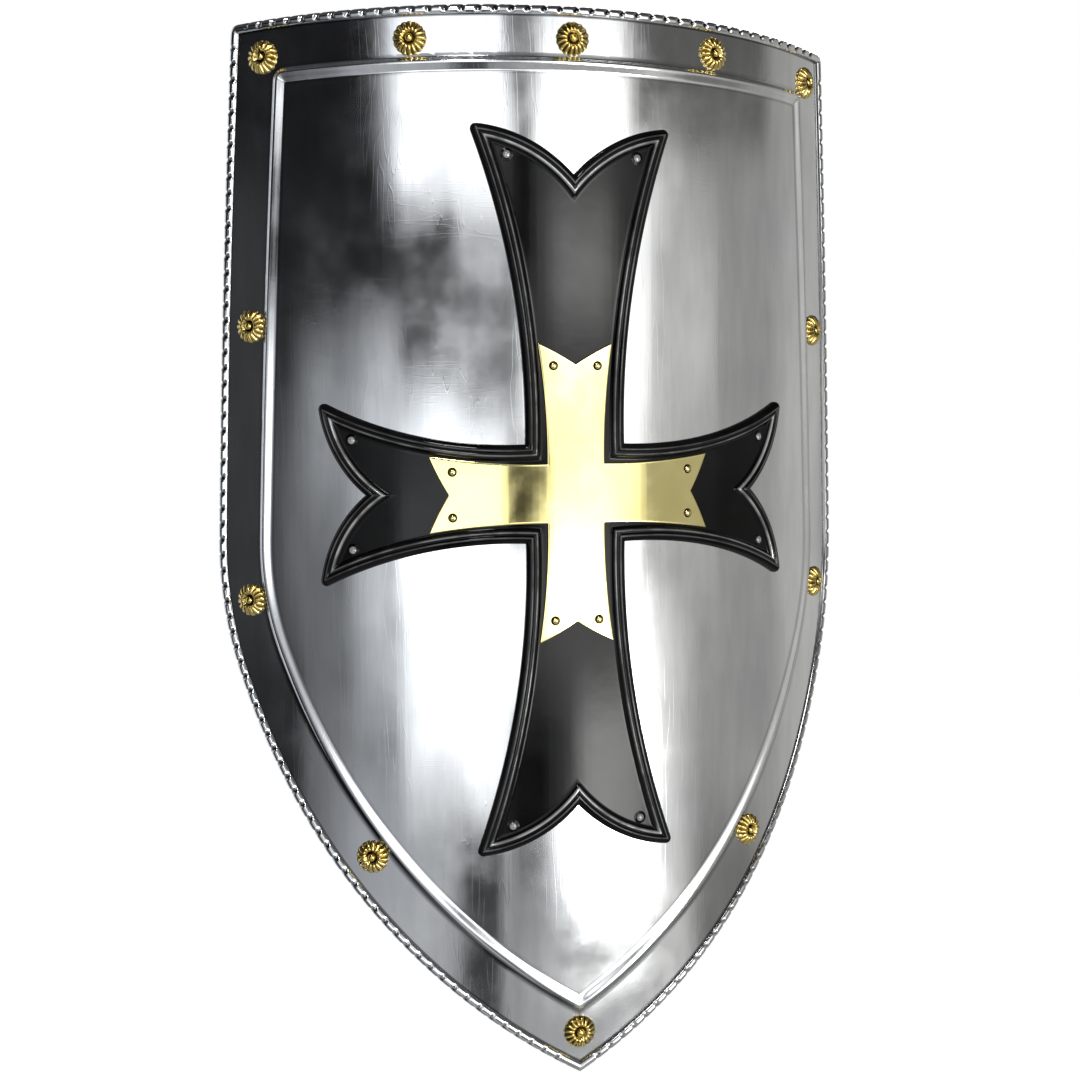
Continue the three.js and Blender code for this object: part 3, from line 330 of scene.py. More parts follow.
# Painted shade on the bead's inner slope and in its creases, by loop: in the upper part, then near the tip
INNER_SLOPE_SHADE = {k: (0.0, 0.15) for k in range(8, 16)}
OUTER_FOOT_SHADE = {0: (0.25, 0.85), 1: (0.2, 0.85), 2: (0.1, 0.75), 3: (0.0, 0.55), 4: (0.0, 0.25)}
INNER_FOOT_SHADE = (0.3, 0.15)
# The share of its height that the bead keeps left of the tip
TIP_BEAD = 0.45
plate_loops = [outline(distance, distance, BORDER_CORNER) for distance, painted_shade in CREASE_SHADE]
plate_loops += [outline(s * TOP_BORDER, s * SIDE_BORDER, BORDER_CORNER) for s in border_shares]
plate_loops += [beside_bead(s * BEAD_WIDTH) for s in bead_shares]
plate_loops += [beside_bead(BEAD_WIDTH + 0.6 * MM), beside_bead(BEAD_WIDTH + 2 * MM)]
flat_loops = len(CREASE_SHADE) + len(border_shares)
plate_heights = [0.0] * flat_loops
for loop, s in zip(plate_loops[flat_loops:], bead_shares):
    plate_heights.append(along_loop(loop, bead_height(s), TIP_BEAD * bead_height(s)))
plate_heights += [0.0, 0.0]
# Painted shade for each loop: in the crease beside the rolled edge, in the bead's creases and on its inner
# slope
plate_shade = [painted_shade for distance, painted_shade in CREASE_SHADE] + [0.0] * len(border_shares)
bead_shade = {**OUTER_FOOT_SHADE, **INNER_SLOPE_SHADE}
for k, loop in enumerate(plate_loops[flat_loops:-3]):
    plate_shade.append(along_loop(loop, *bead_shade.get(k, (0.0, 0.0))))
plate_shade += [along_loop(loop, *INNER_FOOT_SHADE) for loop in plate_loops[-3:-1]] + [0.0]
steel_sheet = pressed_sheet("steel_sheet", plate_loops, plate_heights, PLATE_SHEET, plate_shade)
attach(steel_sheet, "shield")
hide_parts("shield_plate")
print("steel sheet:", len(steel_sheet.data.polygons), "faces")

# %% [markdown]
# ## The roped edge
# The edge of the sheet is rolled over a wire and then struck with a punch at an even pitch, which leaves
# slanting nicks like the strands of a rope. It could be a twisted cord, but the nicks only mark its outer
# side, so a round section is swept along the outline and its radius drops where a nick crosses it.

# %% Sweep the rolled edge
ROPE_PITCH = 10.6 * MM
ROPE_STEP = 0.75 * MM
ROPE_SECTION = 24
NICK_DEPTH = 1.35 * MM
NICK_WIDTH = 3.1 * MM
NICK_SLANT = 3.4 * MM
SMOOTH_CORNER = 13 * MM
RIM_CORNER_RADIUS = 3.4 * MM
CORNER_STEPS = 6


def rim_half():
    """Stations of the right half, each a place and an outward direction, and the crown's place."""
    top, side, shoulder, lower = (
        arc.inset(RIM_RADIUS) for arc in (crown_arc, side_arc, shoulder_arc, lower_arc)
    )
    tip, crown = lower.axis_crossing(-1), top.axis_crossing(1)
    centre = corner_of(RIM_RADIUS + RIM_CORNER_RADIUS, RIM_RADIUS + RIM_CORNER_RADIUS)
    side_angle = math.atan2(centre[1] - side.v, centre[0] - side.u)
    top_angle = math.atan2(centre[1] - top.v, centre[0] - top.u)
    hip, lean = shoulder.at(-LOWER_START), shoulder.at(SIDE_LEAN)
    runs = [
        (lower, tip, hip),
        (shoulder, hip, lean),
        (side, lean, side.at(side_angle)),
        (Arc(centre[0], centre[1], RIM_CORNER_RADIUS), None, None),
        (top, top.at(top_angle), crown),
    ]
    stations = []
    for arc, start, end in runs:
        if start is None:
            angles = [side_angle + (top_angle - side_angle) * i / CORNER_STEPS for i in range(CORNER_STEPS)]
        else:
            a = math.atan2(start[1] - arc.v, start[0] - arc.u)
            b = math.atan2(end[1] - arc.v, end[0] - arc.u)
            turn = math.atan2(math.sin(b - a), math.cos(b - a))
            steps = max(round(abs(turn) * arc.radius / ROPE_STEP), 1)
            angles = [a + turn * i / steps for i in range(steps)]
        stations += [(arc.at(angle), (math.cos(angle), math.sin(angle))) for angle in angles]
    return stations, crown


def sweep_rim():
    right, crown = rim_half()
    tip_place, tip_out = right[0]
    stretch = 1 / -tip_out[1]
    stations = [(tip_place, (0.0, -1.0))] + right[1:] + [(crown, (0.0, 1.0))]
    stations += [((-p[0], p[1]), (-n[0], n[1])) for p, n in reversed(stations[1:-1])]
    places = np.array([p for p, n in stations])
    gaps = np.linalg.norm(np.roll(places, -1, axis=0) - places, axis=1)
    along = np.concatenate([[0], np.cumsum(gaps)[:-1]])
    length = gaps.sum()
    pitch = length / round(length / ROPE_PITCH)
    corners = [0.0, length]
    corners += [along[np.argmax(places[:, 0] + places[:, 1])], along[np.argmax(places[:, 1] - places[:, 0])]]
    bm = bmesh.new()
    # Painted shade darkens the nicks, less at the left end of the top, on the right side and near the tip,
    # and painted shade darkens the inner crease on the right side
    marking = bm.verts.layers.float.new("edge")
    rings = []
    for i, (place, out) in enumerate(stations):
        near = min(abs(along[i] - c) for c in corners)
        calm = smooth((near - 0.6 * SMOOTH_CORNER) / (0.5 * SMOOTH_CORNER))
        faces_down = smooth((-out[1] - 0.45) / 0.25)
        # How much painted shade the nicks take along the edge
        painted_shade = 0.3 + 0.7 * max(smooth(2 * abs(out[0])), smooth((place[0] + 0.12) / 0.09))
        painted_shade *= 1 - 0.6 * faces_down
        painted_shade *= 1 - 0.45 * smooth((out[0] - 0.3) / 0.4)
        lean = 0.6 + 0.5 * smooth((-out[0] - 0.5) / 0.4)
        depth = NICK_DEPTH * (1 - 0.45 * faces_down)
        inner_shade = 0.75 * smooth((out[0] - 0.3) / 0.3)
        ring = []
        for k in range(ROPE_SECTION):
            angle = 2 * math.pi * k / ROPE_SECTION
            outer = smooth((math.cos(angle - lean) + 0.2) / 0.7)
            phase = (along[i] - NICK_SLANT * math.sin(angle)) % pitch
            off_nick = min(phase, pitch - phase) / (0.5 * NICK_WIDTH)
            cut = math.exp(-(off_nick**4)) * outer * calm
            radius = RIM_RADIUS - depth * cut
            across = radius * math.cos(angle) * (stretch if i == 0 else 1)
            u, v = place[0] + out[0] * across, place[1] + out[1] * across
            vert = bm.verts.new(rolled(u, v, radius * math.sin(angle) - PLATE_SHEET / 2))
            vert[marking] = max(painted_shade * cut, inner_shade * smooth((-math.cos(angle) - 0.1) / 0.5))
            ring.append(vert)
        rings.append(ring)
    for ring, after in zip(rings, rings[1:] + rings[:1]):
        join_rings(bm, ring, after)
    return bm, len(rings)


def piece_from(bm, name, body):
    """Links a finished bmesh as a smooth piece that rides on a body."""
    bmesh.ops.recalc_face_normals(bm, faces=bm.faces[:])
    piece = linked(name, smooth_mesh(bm, name))
    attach(piece, body)
    return piece


rope_mesh, rope_stations = sweep_rim()
rope_edge = piece_from(rope_mesh, "rope_edge", "shield")
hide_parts("roped_rim")
print("rope edge:", rope_stations, "stations")

# %% [markdown]
# ## The black cross
# The cross is pressed from its own sheet, with swallow-tail ends. Its edge turns down to the plate in a thick
# rounded lip, and behind the lip run a channel and a second, finer line before the flat field. Each arm's
# edges are arcs again, so the same nested loops work, this time from the arcs of one quarter.

# %% Arcs of a cross
# The arcs aim a little past the tips, because rounding them takes that much off again
CROSS_UPRIGHT = {"root": 33.8, "start": 45, "tip": 69.6, "length": 240.6, "notch": 208, "bulge": 7.4}
CROSS_CROSSBAR = {"root": 32.5, "start": 45, "tip": 63.2, "length": 172.1, "notch": 139.5, "bulge": 7.2}
CROSS_TIP_RADIUS = 3.8 * MM
LEAST_TIP_RADIUS = 0.15 * MM


def arm_arcs(arm):
    """The flare and the tail of an arm as circles in (along the arm, across it)."""
    size = {key: value * MM for key, value in arm.items()}
    rise, run = size["tip"] - size["root"], size["length"] - size["start"]
    flare_radius = (run**2 + rise**2) / (2 * rise)
    flare = Arc(size["start"], size["root"] + flare_radius, flare_radius, -1)
    deep = size["length"] - size["notch"]
    chord = math.hypot(deep, size["tip"])
    radius = chord**2 / (8 * size["bulge"]) + size["bulge"] / 2
    back = radius - size["bulge"]
    along = (size["length"] + size["notch"]) / 2 - back * size["tip"] / chord
    tail = Arc(along, size["tip"] / 2 + back * deep / chord, radius)
    return flare, tail


def turned(arc):
    """An arm's circle for the upright arm, whose length runs along v."""
    return Arc(arc.v, arc.u, arc.radius, arc.side)


TIP_STEPS = 8


def rounded_tip(first, second, near, inset, tip_radius):
    """Points round a tip: the same centre serves every inset, so the rounding shrinks towards the field."""
    radius = max(tip_radius - inset, LEAST_TIP_RADIUS)
    middle = meeting(first.inset(inset + radius), second.inset(inset + radius), near)
    ends = []
    for arc in (first, second):
        du, dv = middle[0] - arc.u, middle[1] - arc.v
        ends.append(math.atan2(dv * arc.side, du * arc.side))
    turn = math.atan2(math.sin(ends[1] - ends[0]), math.cos(ends[1] - ends[0]))
    small = Arc(middle[0], middle[1], radius)
    return [small.at(ends[0] + turn * i / TIP_STEPS) for i in range(TIP_STEPS + 1)]


def cross_outline(upright, crossbar, inset, steps, tip_radius):
    """A closed loop at a distance inside a cross's edge."""
    up_edges = [turned(arc) for arc in arm_arcs(upright)]
    edges = arm_arcs(crossbar)
    right_place = (crossbar["length"] * MM, crossbar["tip"] * MM)
    top_place = (upright["tip"] * MM, upright["length"] * MM)
    right_tip = rounded_tip(edges[1], edges[0], right_place, inset, tip_radius)
    top_tip = rounded_tip(up_edges[0], up_edges[1], top_place, inset, tip_radius)
    up_flare, up_tail = (arc.inset(inset) for arc in up_edges)
    flare, tail = (arc.inset(inset) for arc in edges)
    right_notch = (tail.u + math.sqrt(tail.radius**2 - tail.v**2), 0.0)
    top_notch = up_tail.axis_crossing(1)
    pit = meeting(flare, up_flare, (upright["root"] * MM, crossbar["root"] * MM))
    quarter = tail.points(right_notch, right_tip[0], steps) + right_tip[:-1]
    quarter += flare.points(right_tip[-1], pit, 2 * steps)
    quarter += up_flare.points(pit, top_tip[0], 2 * steps) + top_tip[:-1]
    quarter += up_tail.points(top_tip[-1], top_notch, steps)
    half = quarter + [top_notch] + [(-u, v) for u, v in reversed(quarter)]
    return half + [(u, -v) for u, v in reversed(half[1:-1])]


print("the black cross is %.0f mm wide at its roots" % (2 * CROSS_UPRIGHT["root"]))

# %% Press the black cross
CROSS_SHEET = 0.9 * MM
# Distances inside the edge and heights above the plate, in millimetres
CROSS_RELIEF = [
    (0.0, 0.2), (0.05, 1.1), (0.3, 2.0), (0.8, 2.9), (1.5, 3.65), (2.4, 4.2), (3.3, 4.5), (4.1, 4.55),
    (4.7, 4.35), (5.2, 3.9), (5.6, 3.55), (6.0, 3.45), (6.4, 3.6), (6.9, 3.85), (7.4, 3.8), (7.9, 3.4),
    (8.6, 2.6), (9.3, 1.85), (9.9, 1.4), (10.5, 1.2), (11.4, 1.15), (12.6, 1.15),
]
CROSS_STEPS = 22
# How light the two ridges are made, at the tails and then along the flares: paint thinned by polishing, and a
# painted highlight
CREST_WEAR_AND_HIGHLIGHT = {4.1: (0.2, 0.2), 6.9: (0.6, 0.1), 7.4: (1.0, 0.5), 7.9: (0.6, 0.1)}


def cross_loops(upright, crossbar, relief, tip_radius):
    insets = [distance * MM for distance, height in relief]
    return [cross_outline(upright, crossbar, inset, CROSS_STEPS, tip_radius) for inset in insets]


def ridge_wear_and_highlight(tails, flares):
    """Thinned paint and painted highlight for each point of a cross's loop, in the order that its outline
    takes.
    """
    tail_steps = CROSS_STEPS + TIP_STEPS
    quarter = [tails] * tail_steps + [flares] * (4 * CROSS_STEPS) + [tails] * tail_steps
    half = quarter + [tails] + quarter[::-1]
    return half + half[1:-1][::-1]


# The ridges are lightened with paint thinned by polishing and a painted highlight
black_cross = pressed_sheet(
    "black_cross_plate",
    cross_loops(CROSS_UPRIGHT, CROSS_CROSSBAR, CROSS_RELIEF, CROSS_TIP_RADIUS),
    [height * MM for distance, height in CROSS_RELIEF],
    CROSS_SHEET,
    [ridge_wear_and_highlight(*CREST_WEAR_AND_HIGHLIGHT.get(distance, (0.0, 0.0))) for distance, height in CROSS_RELIEF],
)
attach(black_cross, "shield")
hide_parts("black_cross")
print("black cross:", len(black_cross.data.polygons), "faces")

# %% [markdown]
# ## The brass cross
# The small cross is cut from thin brass sheet and only its edge is softened by filing, so it needs just two
# close loops at its rim. It lies on the black field, held by two rivets at each end.

# %% Cut the brass cross
BRASS_UPRIGHT = {"root": 19.4, "start": 24, "tip": 25.3, "length": 98.7, "notch": 85, "bulge": 0.6}
BRASS_CROSSBAR = {"root": 19.7, "start": 24, "tip": 25.6, "length": 97.2, "notch": 84.3, "bulge": 0.6}
BRASS_SHEET = 0.7 * MM
BRASS_TIP_RADIUS = 0.3 * MM
BRASS_RELIEF = [(0.0, 1.75), (0.06, 2.1), (0.25, 2.32), (0.7, 2.4), (1.6, 2.4)]
brass_cross = pressed_sheet(
    "brass_cross_plate",
    cross_loops(BRASS_UPRIGHT, BRASS_CROSSBAR, BRASS_RELIEF, BRASS_TIP_RADIUS),
    [height * MM for distance, height in BRASS_RELIEF],
    BRASS_SHEET,
)
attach(brass_cross, "shield")
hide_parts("brass_cross")
print("brass cross:", len(brass_cross.data.polygons), "faces")

# %% [markdown]
# ## Rosettes and rivets
# Each rosette is stamped from brass: sixteen petals like a daisy, a raised ring where they start, and a sunk
# middle that holds the rivet. A revolved profile whose edge and height wave with the angle gives the petals.
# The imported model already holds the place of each, so the script reads the places from the nodes.

# %% Stamp a rosette
PETALS = 16
POINTS_IN_PETAL = 10
SCALLOP = 0.045
FLUTE_HEIGHT = 0.55
# Radius and height in millimetres, and how strongly the petals show there
ROSETTE_PROFILE = [
    (2.0, 2.2, 0.0), (3.1, 2.45, 0.0), (4.0, 3.1, 0.05), (4.7, 3.8, 0.15), (5.4, 4.05, 0.35),
    (6.2, 3.75, 0.62), (7.3, 3.15, 0.85), (8.5, 2.4, 1.0), (9.6, 1.6, 1.0), (10.3, 1.0, 0.9),
    (10.75, 0.5, 0.6),
]


def petal_wave(angle):
    """1 on the back of a petal and -1 in the groove between two."""
    return 2 * abs(math.cos(PETALS * angle / 2)) ** 0.8 - 1


def stamp_rosette():
    bm = bmesh.new()
    groove_shade = bm.verts.layers.float.new("edge")
    around = PETALS * POINTS_IN_PETAL
    rings = []
    for radius, height, flute in ROSETTE_PROFILE:
        ring = []
        for i in range(around):
            angle = 2 * math.pi * i / around
            wave = petal_wave(angle)
            out = radius * MM * (1 + SCALLOP * flute * wave)
            up = (height + FLUTE_HEIGHT * flute * wave) * MM
            vert = bm.verts.new((out * math.cos(angle), out * math.sin(angle), up))
            # Painted shade darkens the grooves between the petals and the sunk middle round the rivet
            groove = max(flute * (0.25 - wave), 0.0)
            vert[groove_shade] = groove if flute > 0.3 else smooth((4.2 - radius) / 0.9)
            ring.append(vert)
        rings.append(ring)
    rings.append([bm.verts.new((v.co.x, v.co.y, 0.0)) for v in rings[-1]])
    for inner, outer in zip(rings, rings[1:]):
        join_rings(bm, inner, outer)
    bm.faces.new(list(reversed(rings[0])))
    bm.faces.new(rings[-1])
    bmesh.ops.recalc_face_normals(bm, faces=bm.faces[:])
    return smooth_mesh(bm, "rosette")


print("a rosette has", PETALS, "petals")

# %% Turn a rivet
RIVET_SIDES = 28
TAIL_SLACK = 0.05 * MM


def turn_rivet(name, head, dome, shank, tail, tail_dome, grip, enamelled=False):
    """A revolved rivet: its domed head stands on z = 0, and its peened tail closes behind the grip."""
    profile = [(0.0, -grip - tail_dome)]
    for t in np.linspace(0.25, math.pi / 2, 5):
        profile.append((tail * math.sin(t), -grip - tail_dome * math.cos(t)))
    profile += [(tail, -grip + TAIL_SLACK), (shank, -grip + TAIL_SLACK), (shank, 0.0)]
    if enamelled:
        # Paint pools in a collar round the head
        profile += [(1.35 * head, 0.0), (1.3 * head, 0.06 * dome), (1.1 * head, 0.05 * dome)]
    else:
        profile += [(head, 0.0)]
    profile += [(head, 0.1 * dome), (0.93 * head, 0.16 * dome)]
    for t in np.linspace(0, 1.35, 9):
        profile.append((0.8 * head * math.cos(t), 0.16 * dome + 0.84 * dome * math.sin(t)))
    profile += [(0.0, dome)]
    bm = bmesh.new()
    mark = bm.verts.layers.float.new("edge")
    rings = []
    for radius, z in profile:
        count = 1 if radius == 0.0 else RIVET_SIDES
        angles = [2 * math.pi * i / count for i in range(count)]
        ring = [bm.verts.new((radius * math.cos(a), radius * math.sin(a), z)) for a in angles]
        # An enamelled rivet's top is made light, bare steel with a painted highlight, and a brass one gets
        # painted shade round its foot
        marked_here = z > 0.35 * dome if enamelled else z >= 0 and radius > 0.75 * head
        for vert in ring:
            vert[mark] = 1.0 if marked_here else 0.0
        rings.append(ring)
    for low, high in zip(rings, rings[1:]):
        join_rings(bm, low, high)
    bmesh.ops.recalc_face_normals(bm, faces=bm.faces[:])
    return smooth_mesh(bm, name)


print("a rivet has", RIVET_SIDES, "sides")


# %% Set rosettes and rivets in their places
def on_front(u, v, w):
    """The matrix that sets a small piece on the plate's front with its axis straight out."""
    angle = u / BEND_RADIUS
    across = Vector((math.cos(angle), math.sin(angle), 0))
    out = Vector((math.sin(angle), -math.cos(angle), 0))
    turn = Matrix((across, Vector((0, 0, 1)), out)).transposed().to_4x4()
    return Matrix.Translation(rolled(u, v, w)) @ turn


def set_copies(mesh, nodes, node_word, piece_word, height, turn=0.0):
    """A piece in each node's place, named after its node with another first word."""
    made = []
    for node in nodes:
        low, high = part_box(node)
        u, v, _ = unrolled((low + high) / 2)
        piece = linked(node.replace(node_word, piece_word, 1), mesh)
        piece.matrix_world = on_front(u, v, height) @ Matrix.Rotation(turn * len(made), 4, "Z")
        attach(piece, "shield")
        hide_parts(node)
        made.append(piece)
    return made


def nodes_named(start):
    return sorted(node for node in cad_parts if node.startswith(start))


ROSETTE_SEAT = 0.15 * MM
ROSETTE_BORE_HEIGHT = 2.4 * MM
ROSETTE_TURN = 0.13
FIELD_TOP = 1.2 * MM
BRASS_TOP = 2.4 * MM
rosette_mesh = stamp_rosette()
rosette_rivet = turn_rivet(
    "rosette_rivet", head=3.3 * MM, dome=2.6 * MM, shank=1.9 * MM,
    tail=3.3 * MM, tail_dome=1.3 * MM, grip=4.2 * MM,
)
cross_rivet = turn_rivet(
    "cross_rivet", head=3.2 * MM, dome=1.7 * MM, shank=1.6 * MM,
    tail=2.8 * MM, tail_dome=1.1 * MM, grip=3.0 * MM, enamelled=True,
)
brass_rivet = turn_rivet(
    "brass_rivet", head=3.1 * MM, dome=1.8 * MM, shank=1.6 * MM,
    tail=2.8 * MM, tail_dome=1.1 * MM, grip=4.2 * MM,
)

rivet_nodes = nodes_named("rosette_rivet_")
rosette_nodes = [node for node in nodes_named("rosette_") if node not in rivet_nodes]
rivet_seat = ROSETTE_SEAT + ROSETTE_BORE_HEIGHT
daisies = set_copies(rosette_mesh, rosette_nodes, "rosette_", "daisy_", ROSETTE_SEAT, ROSETTE_TURN)
daisy_rivets = set_copies(rosette_rivet, rivet_nodes, "rosette_rivet_", "daisy_rivet_", rivet_seat)
black_rivets = set_copies(
    cross_rivet, nodes_named("cross_rivet_"), "cross_rivet_", "black_rivet_", FIELD_TOP
)
gold_rivets = set_copies(
    brass_rivet, nodes_named("brass_rivet_"), "brass_rivet_", "gold_rivet_", BRASS_TOP
)
print(len(daisies) + len(daisy_rivets) + len(black_rivets) + len(gold_rivets), "small pieces")

# %% [markdown]
# ## Straps and fittings on the back
# Behind the plate the arm passes through a buckled strap and the hand holds a second one. Each strap is one
# band of leather: it runs round a steel bridge that is welded to the plate, folds back on itself and is
# closed by a rivet. A band is a section carried along a line, so one sweep serves for straps, bridges, buckle
# and keeper. Cloth simulation isn't needed, since thick leather keeps the shape that it is bent to.

# %% Lines with rounded bends
LEAST_TURN = 0.02
BEND_STEP = 0.12


def bent_line(corners, radius, step=1.2 * MM, closed=False):
    """Evenly spaced points (a, b, thickness) along a line whose corners are rounded."""
    points = [np.array(c, dtype=float) for c in corners]
    if closed:
        points = points[-1:] + points + points[:1]
    line = [] if closed else [points[0]]
    for before, here, after in zip(points, points[1:], points[2:]):
        back, on = (before - here)[:2], (after - here)[:2]
        back_length, on_length = np.linalg.norm(back), np.linalg.norm(on)
        back, on = back / back_length, on / on_length
        turn = math.pi - math.acos(max(-1.0, min(1.0, float(back @ on))))
        if turn < LEAST_TURN:
            line.append(here)
            continue
        cut = min(radius * math.tan(turn / 2), 0.49 * back_length, 0.49 * on_length)
        bend_radius = cut / math.tan(turn / 2)
        middle = here[:2] + (back + on) / np.linalg.norm(back + on) * bend_radius / math.cos(turn / 2)
        start, end = here[:2] + back * cut - middle, here[:2] + on * cut - middle
        a, b = math.atan2(start[1], start[0]), math.atan2(end[1], end[0])
        sweep_angle = math.atan2(math.sin(b - a), math.cos(b - a))
        steps = max(3, round(abs(sweep_angle) / BEND_STEP))
        for i in range(steps + 1):
            angle = a + sweep_angle * i / steps
            x, y = middle[0] + bend_radius * math.cos(angle), middle[1] + bend_radius * math.sin(angle)
            line.append(np.array([x, y, here[2]]))
    line.append(line[0] if closed else points[-1])
    line = np.array(line)
    run = run_of(line)
    even = np.linspace(0, run[-1], max(3, round(run[-1] / step)) + 1)
    spaced = np.column_stack([np.interp(even, run, line[:, k]) for k in range(3)])
    return spaced[:-1] if closed else spaced


def normals_of(line, closed=False):
    """Unit directions along a line and square to it, at each of its points."""
    if closed:
        along = np.roll(line[:, :2], -1, axis=0) - np.roll(line[:, :2], 1, axis=0)
    else:
        along = np.gradient(line[:, :2], axis=0)
    along /= np.linalg.norm(along, axis=1)[:, None]
    return along, np.column_stack([-along[:, 1], along[:, 0]])


def run_of(line):
    """How far along the line each of its points lies."""
    steps = np.linalg.norm(np.diff(line[:, :2], axis=0), axis=1)
    return np.concatenate([[0], np.cumsum(steps)])


print("a bend has a point every %.0f degrees" % math.degrees(BEND_STEP))

# %% Sweep a section along a line
NOSE_THINNING = 1.2 * MM
STITCH_INSET = 3 * MM
GROOVE_HALF = 0.6 * MM
SAME_PLACE = 1e-5
BAR_SIDES = 14


def sweep(bm, line, section, axes, closed=False, noses=(0.0, 0.0)):
    """Carries (across, share of half the thickness, edge wear) along a line that lies in two of the axes."""
    edge = bm.verts.layers.float.get("edge") or bm.verts.layers.float.new("edge")
    order = [axes.index(letter) for letter in "xyz"]
    _, normals = normals_of(line, closed)
    run = run_of(line)
    rings = []
    for (a, b, thick), normal, done in zip(line, normals, run):
        narrow, flat = 1.0, 1.0
        for nose, left in zip(noses, (done, run[-1] - done)):
            if nose and left < nose:
                narrow = min(narrow, 0.42 + 0.58 * math.sqrt(max(1 - (1 - left / nose) ** 2, 0.0)))
            if nose and left < NOSE_THINNING:
                flat = 0.55 + 0.45 * left / NOSE_THINNING
        ring = []
        for across, share, marking in section:
            out = share * thick / 2 * flat
            spot = (a + normal[0] * out, b + normal[1] * out, across * narrow)
            vert = bm.verts.new(tuple(spot[k] for k in order))
            vert[edge] = max(marking, 1 - flat)
            ring.append(vert)
        rings.append(ring)
    for first, second in zip(rings, rings[1:]):
        join_rings(bm, first, second)
    if closed:
        join_rings(bm, rings[-1], rings[0])
    else:
        bm.faces.new(rings[0])
        bm.faces.new(list(reversed(rings[-1])))


def flat_section(width, round_share=0.07, groove=0.0):
    """A band with rounded edges, and a shallow stitching groove near each edge."""
    half, corner = width / 2, width * round_share
    stitches = half - STITCH_INSET
    lines = [half - corner]
    if groove:
        lines += [stitches - GROOVE_HALF, stitches, stitches + GROOVE_HALF]
    places = {round(side * line, 6) for line in lines for side in (-1, 1)}
    places |= {k * half / 3 for k in range(-2, 3)}
    section = []
    for x in sorted(places):
        dent = groove if abs(abs(x) - stitches) < SAME_PLACE else 0.0
        section.append((x, 1.0 - dent, 0.0))
    for t in (1.1, 0.6, 0.0, -0.6, -1.1):
        section.append((half - corner + corner * math.cos(t), math.sin(t), 0.45 + 0.55 * math.cos(t)))
    return section + [(-x, -height, marking) for x, height, marking in section]


def round_section(across, power=0.75):
    """A rounded bar: the sweep's thickness gives its other size."""
    section = []
    for k in range(BAR_SIDES):
        angle = math.pi / 2 - 2 * math.pi * k / BAR_SIDES
        c, s = math.cos(angle), math.sin(angle)
        x = math.copysign(abs(c) ** power, c) * across / 2
        section.append((x, math.copysign(abs(s) ** power, s), 0.0))
    return section


def on_back(u, v):
    """The matrix whose z axis points from the plate's back to the wearer."""
    return on_front(u, v, -PLATE_SHEET) @ Matrix.Rotation(math.pi, 4, "Y")


def fitted(bm, name, place, body, node):
    """Links a swept piece in its place on the back and lets it stand for its node."""
    piece = piece_from(bm, name, body)
    piece.matrix_world = place
    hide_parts(node)
    return piece


print("helpers for straps are ready")

# %% Bridges for the straps
STRAP_OFFSET = 96 * MM
STRAP_WIDTH = 30 * MM
GRIP_REACH = 62 * MM
ARM_REACH = 78 * MM
BRIDGE_HEIGHT = 6.3 * MM
BRIDGE_HALF = 17 * MM
BRIDGE_END = 26.6 * MM
BRIDGE_DEPTH = 16 * MM
BRIDGE_STEEL = 2 * MM
FOOT_LIFT = 1.15 * MM
WELD_WIDTH = 2.6 * MM
WELD_STEPS = 60
WELD_RIPPLES = 1700


def seat(x):
    """How far the hollow back rises towards the wearer at a distance from a bridge's middle."""
    return BEND_RADIUS - math.sqrt(BEND_RADIUS**2 - x**2)


def make_bridge():
    foot, leg = seat(BRIDGE_END) + FOOT_LIFT, seat(BRIDGE_HALF) + FOOT_LIFT
    half = [(BRIDGE_END, foot), (BRIDGE_HALF, leg), (BRIDGE_HALF, BRIDGE_HEIGHT)]
    corners = [(x, z, BRIDGE_STEEL) for x, z in half]
    corners += [(-x, z, BRIDGE_STEEL) for x, z in reversed(half)]
    bm = bmesh.new()
    sweep(bm, bent_line(corners, 2.2 * MM, 0.6 * MM), flat_section(BRIDGE_DEPTH, 0.035), "xzy")
    # A rippled weld bead closes each foot to the plate
    for side in (-1, 1):
        ys = np.linspace(-0.5, 0.5, WELD_STEPS) * BRIDGE_DEPTH * 0.92
        ripple = [2.3 * MM + 0.5 * MM * abs(math.sin(WELD_RIPPLES * y + side)) for y in ys]
        weld = np.column_stack([ys, np.full(WELD_STEPS, foot - 0.35 * MM), ripple])
        section = round_section(WELD_WIDTH, 1.0)
        sweep(bm, weld, [(across + side * BRIDGE_END, share, marking) for across, share, marking in section], "yzx")
    return bm


bridges = []
for node, offset, height in (
    ("grip_bracket_upper", -STRAP_OFFSET, GRIP_REACH), ("grip_bracket_lower", -STRAP_OFFSET, -GRIP_REACH),
    ("arm_bracket_upper", STRAP_OFFSET, ARM_REACH), ("arm_bracket_lower", STRAP_OFFSET, -ARM_REACH),
):
    name = node.replace("bracket", "bridge")
    place = on_back(offset, height)
    bridges.append(fitted(make_bridge(), name, place, "shield", node))
print(len(bridges), "bridges")

# %% The folded end of a strap
LAP_LENGTH = 20 * MM
LAP_START = 5.3 * MM
LAP_OVERLAP = 0.4 * MM
RIVET_UP_LAP = 13 * MM
FOLD_HALF_WIDTH = 10 * MM
FOLD_HALF_HEIGHT = 2.8 * MM
LEATHER = 3 * MM


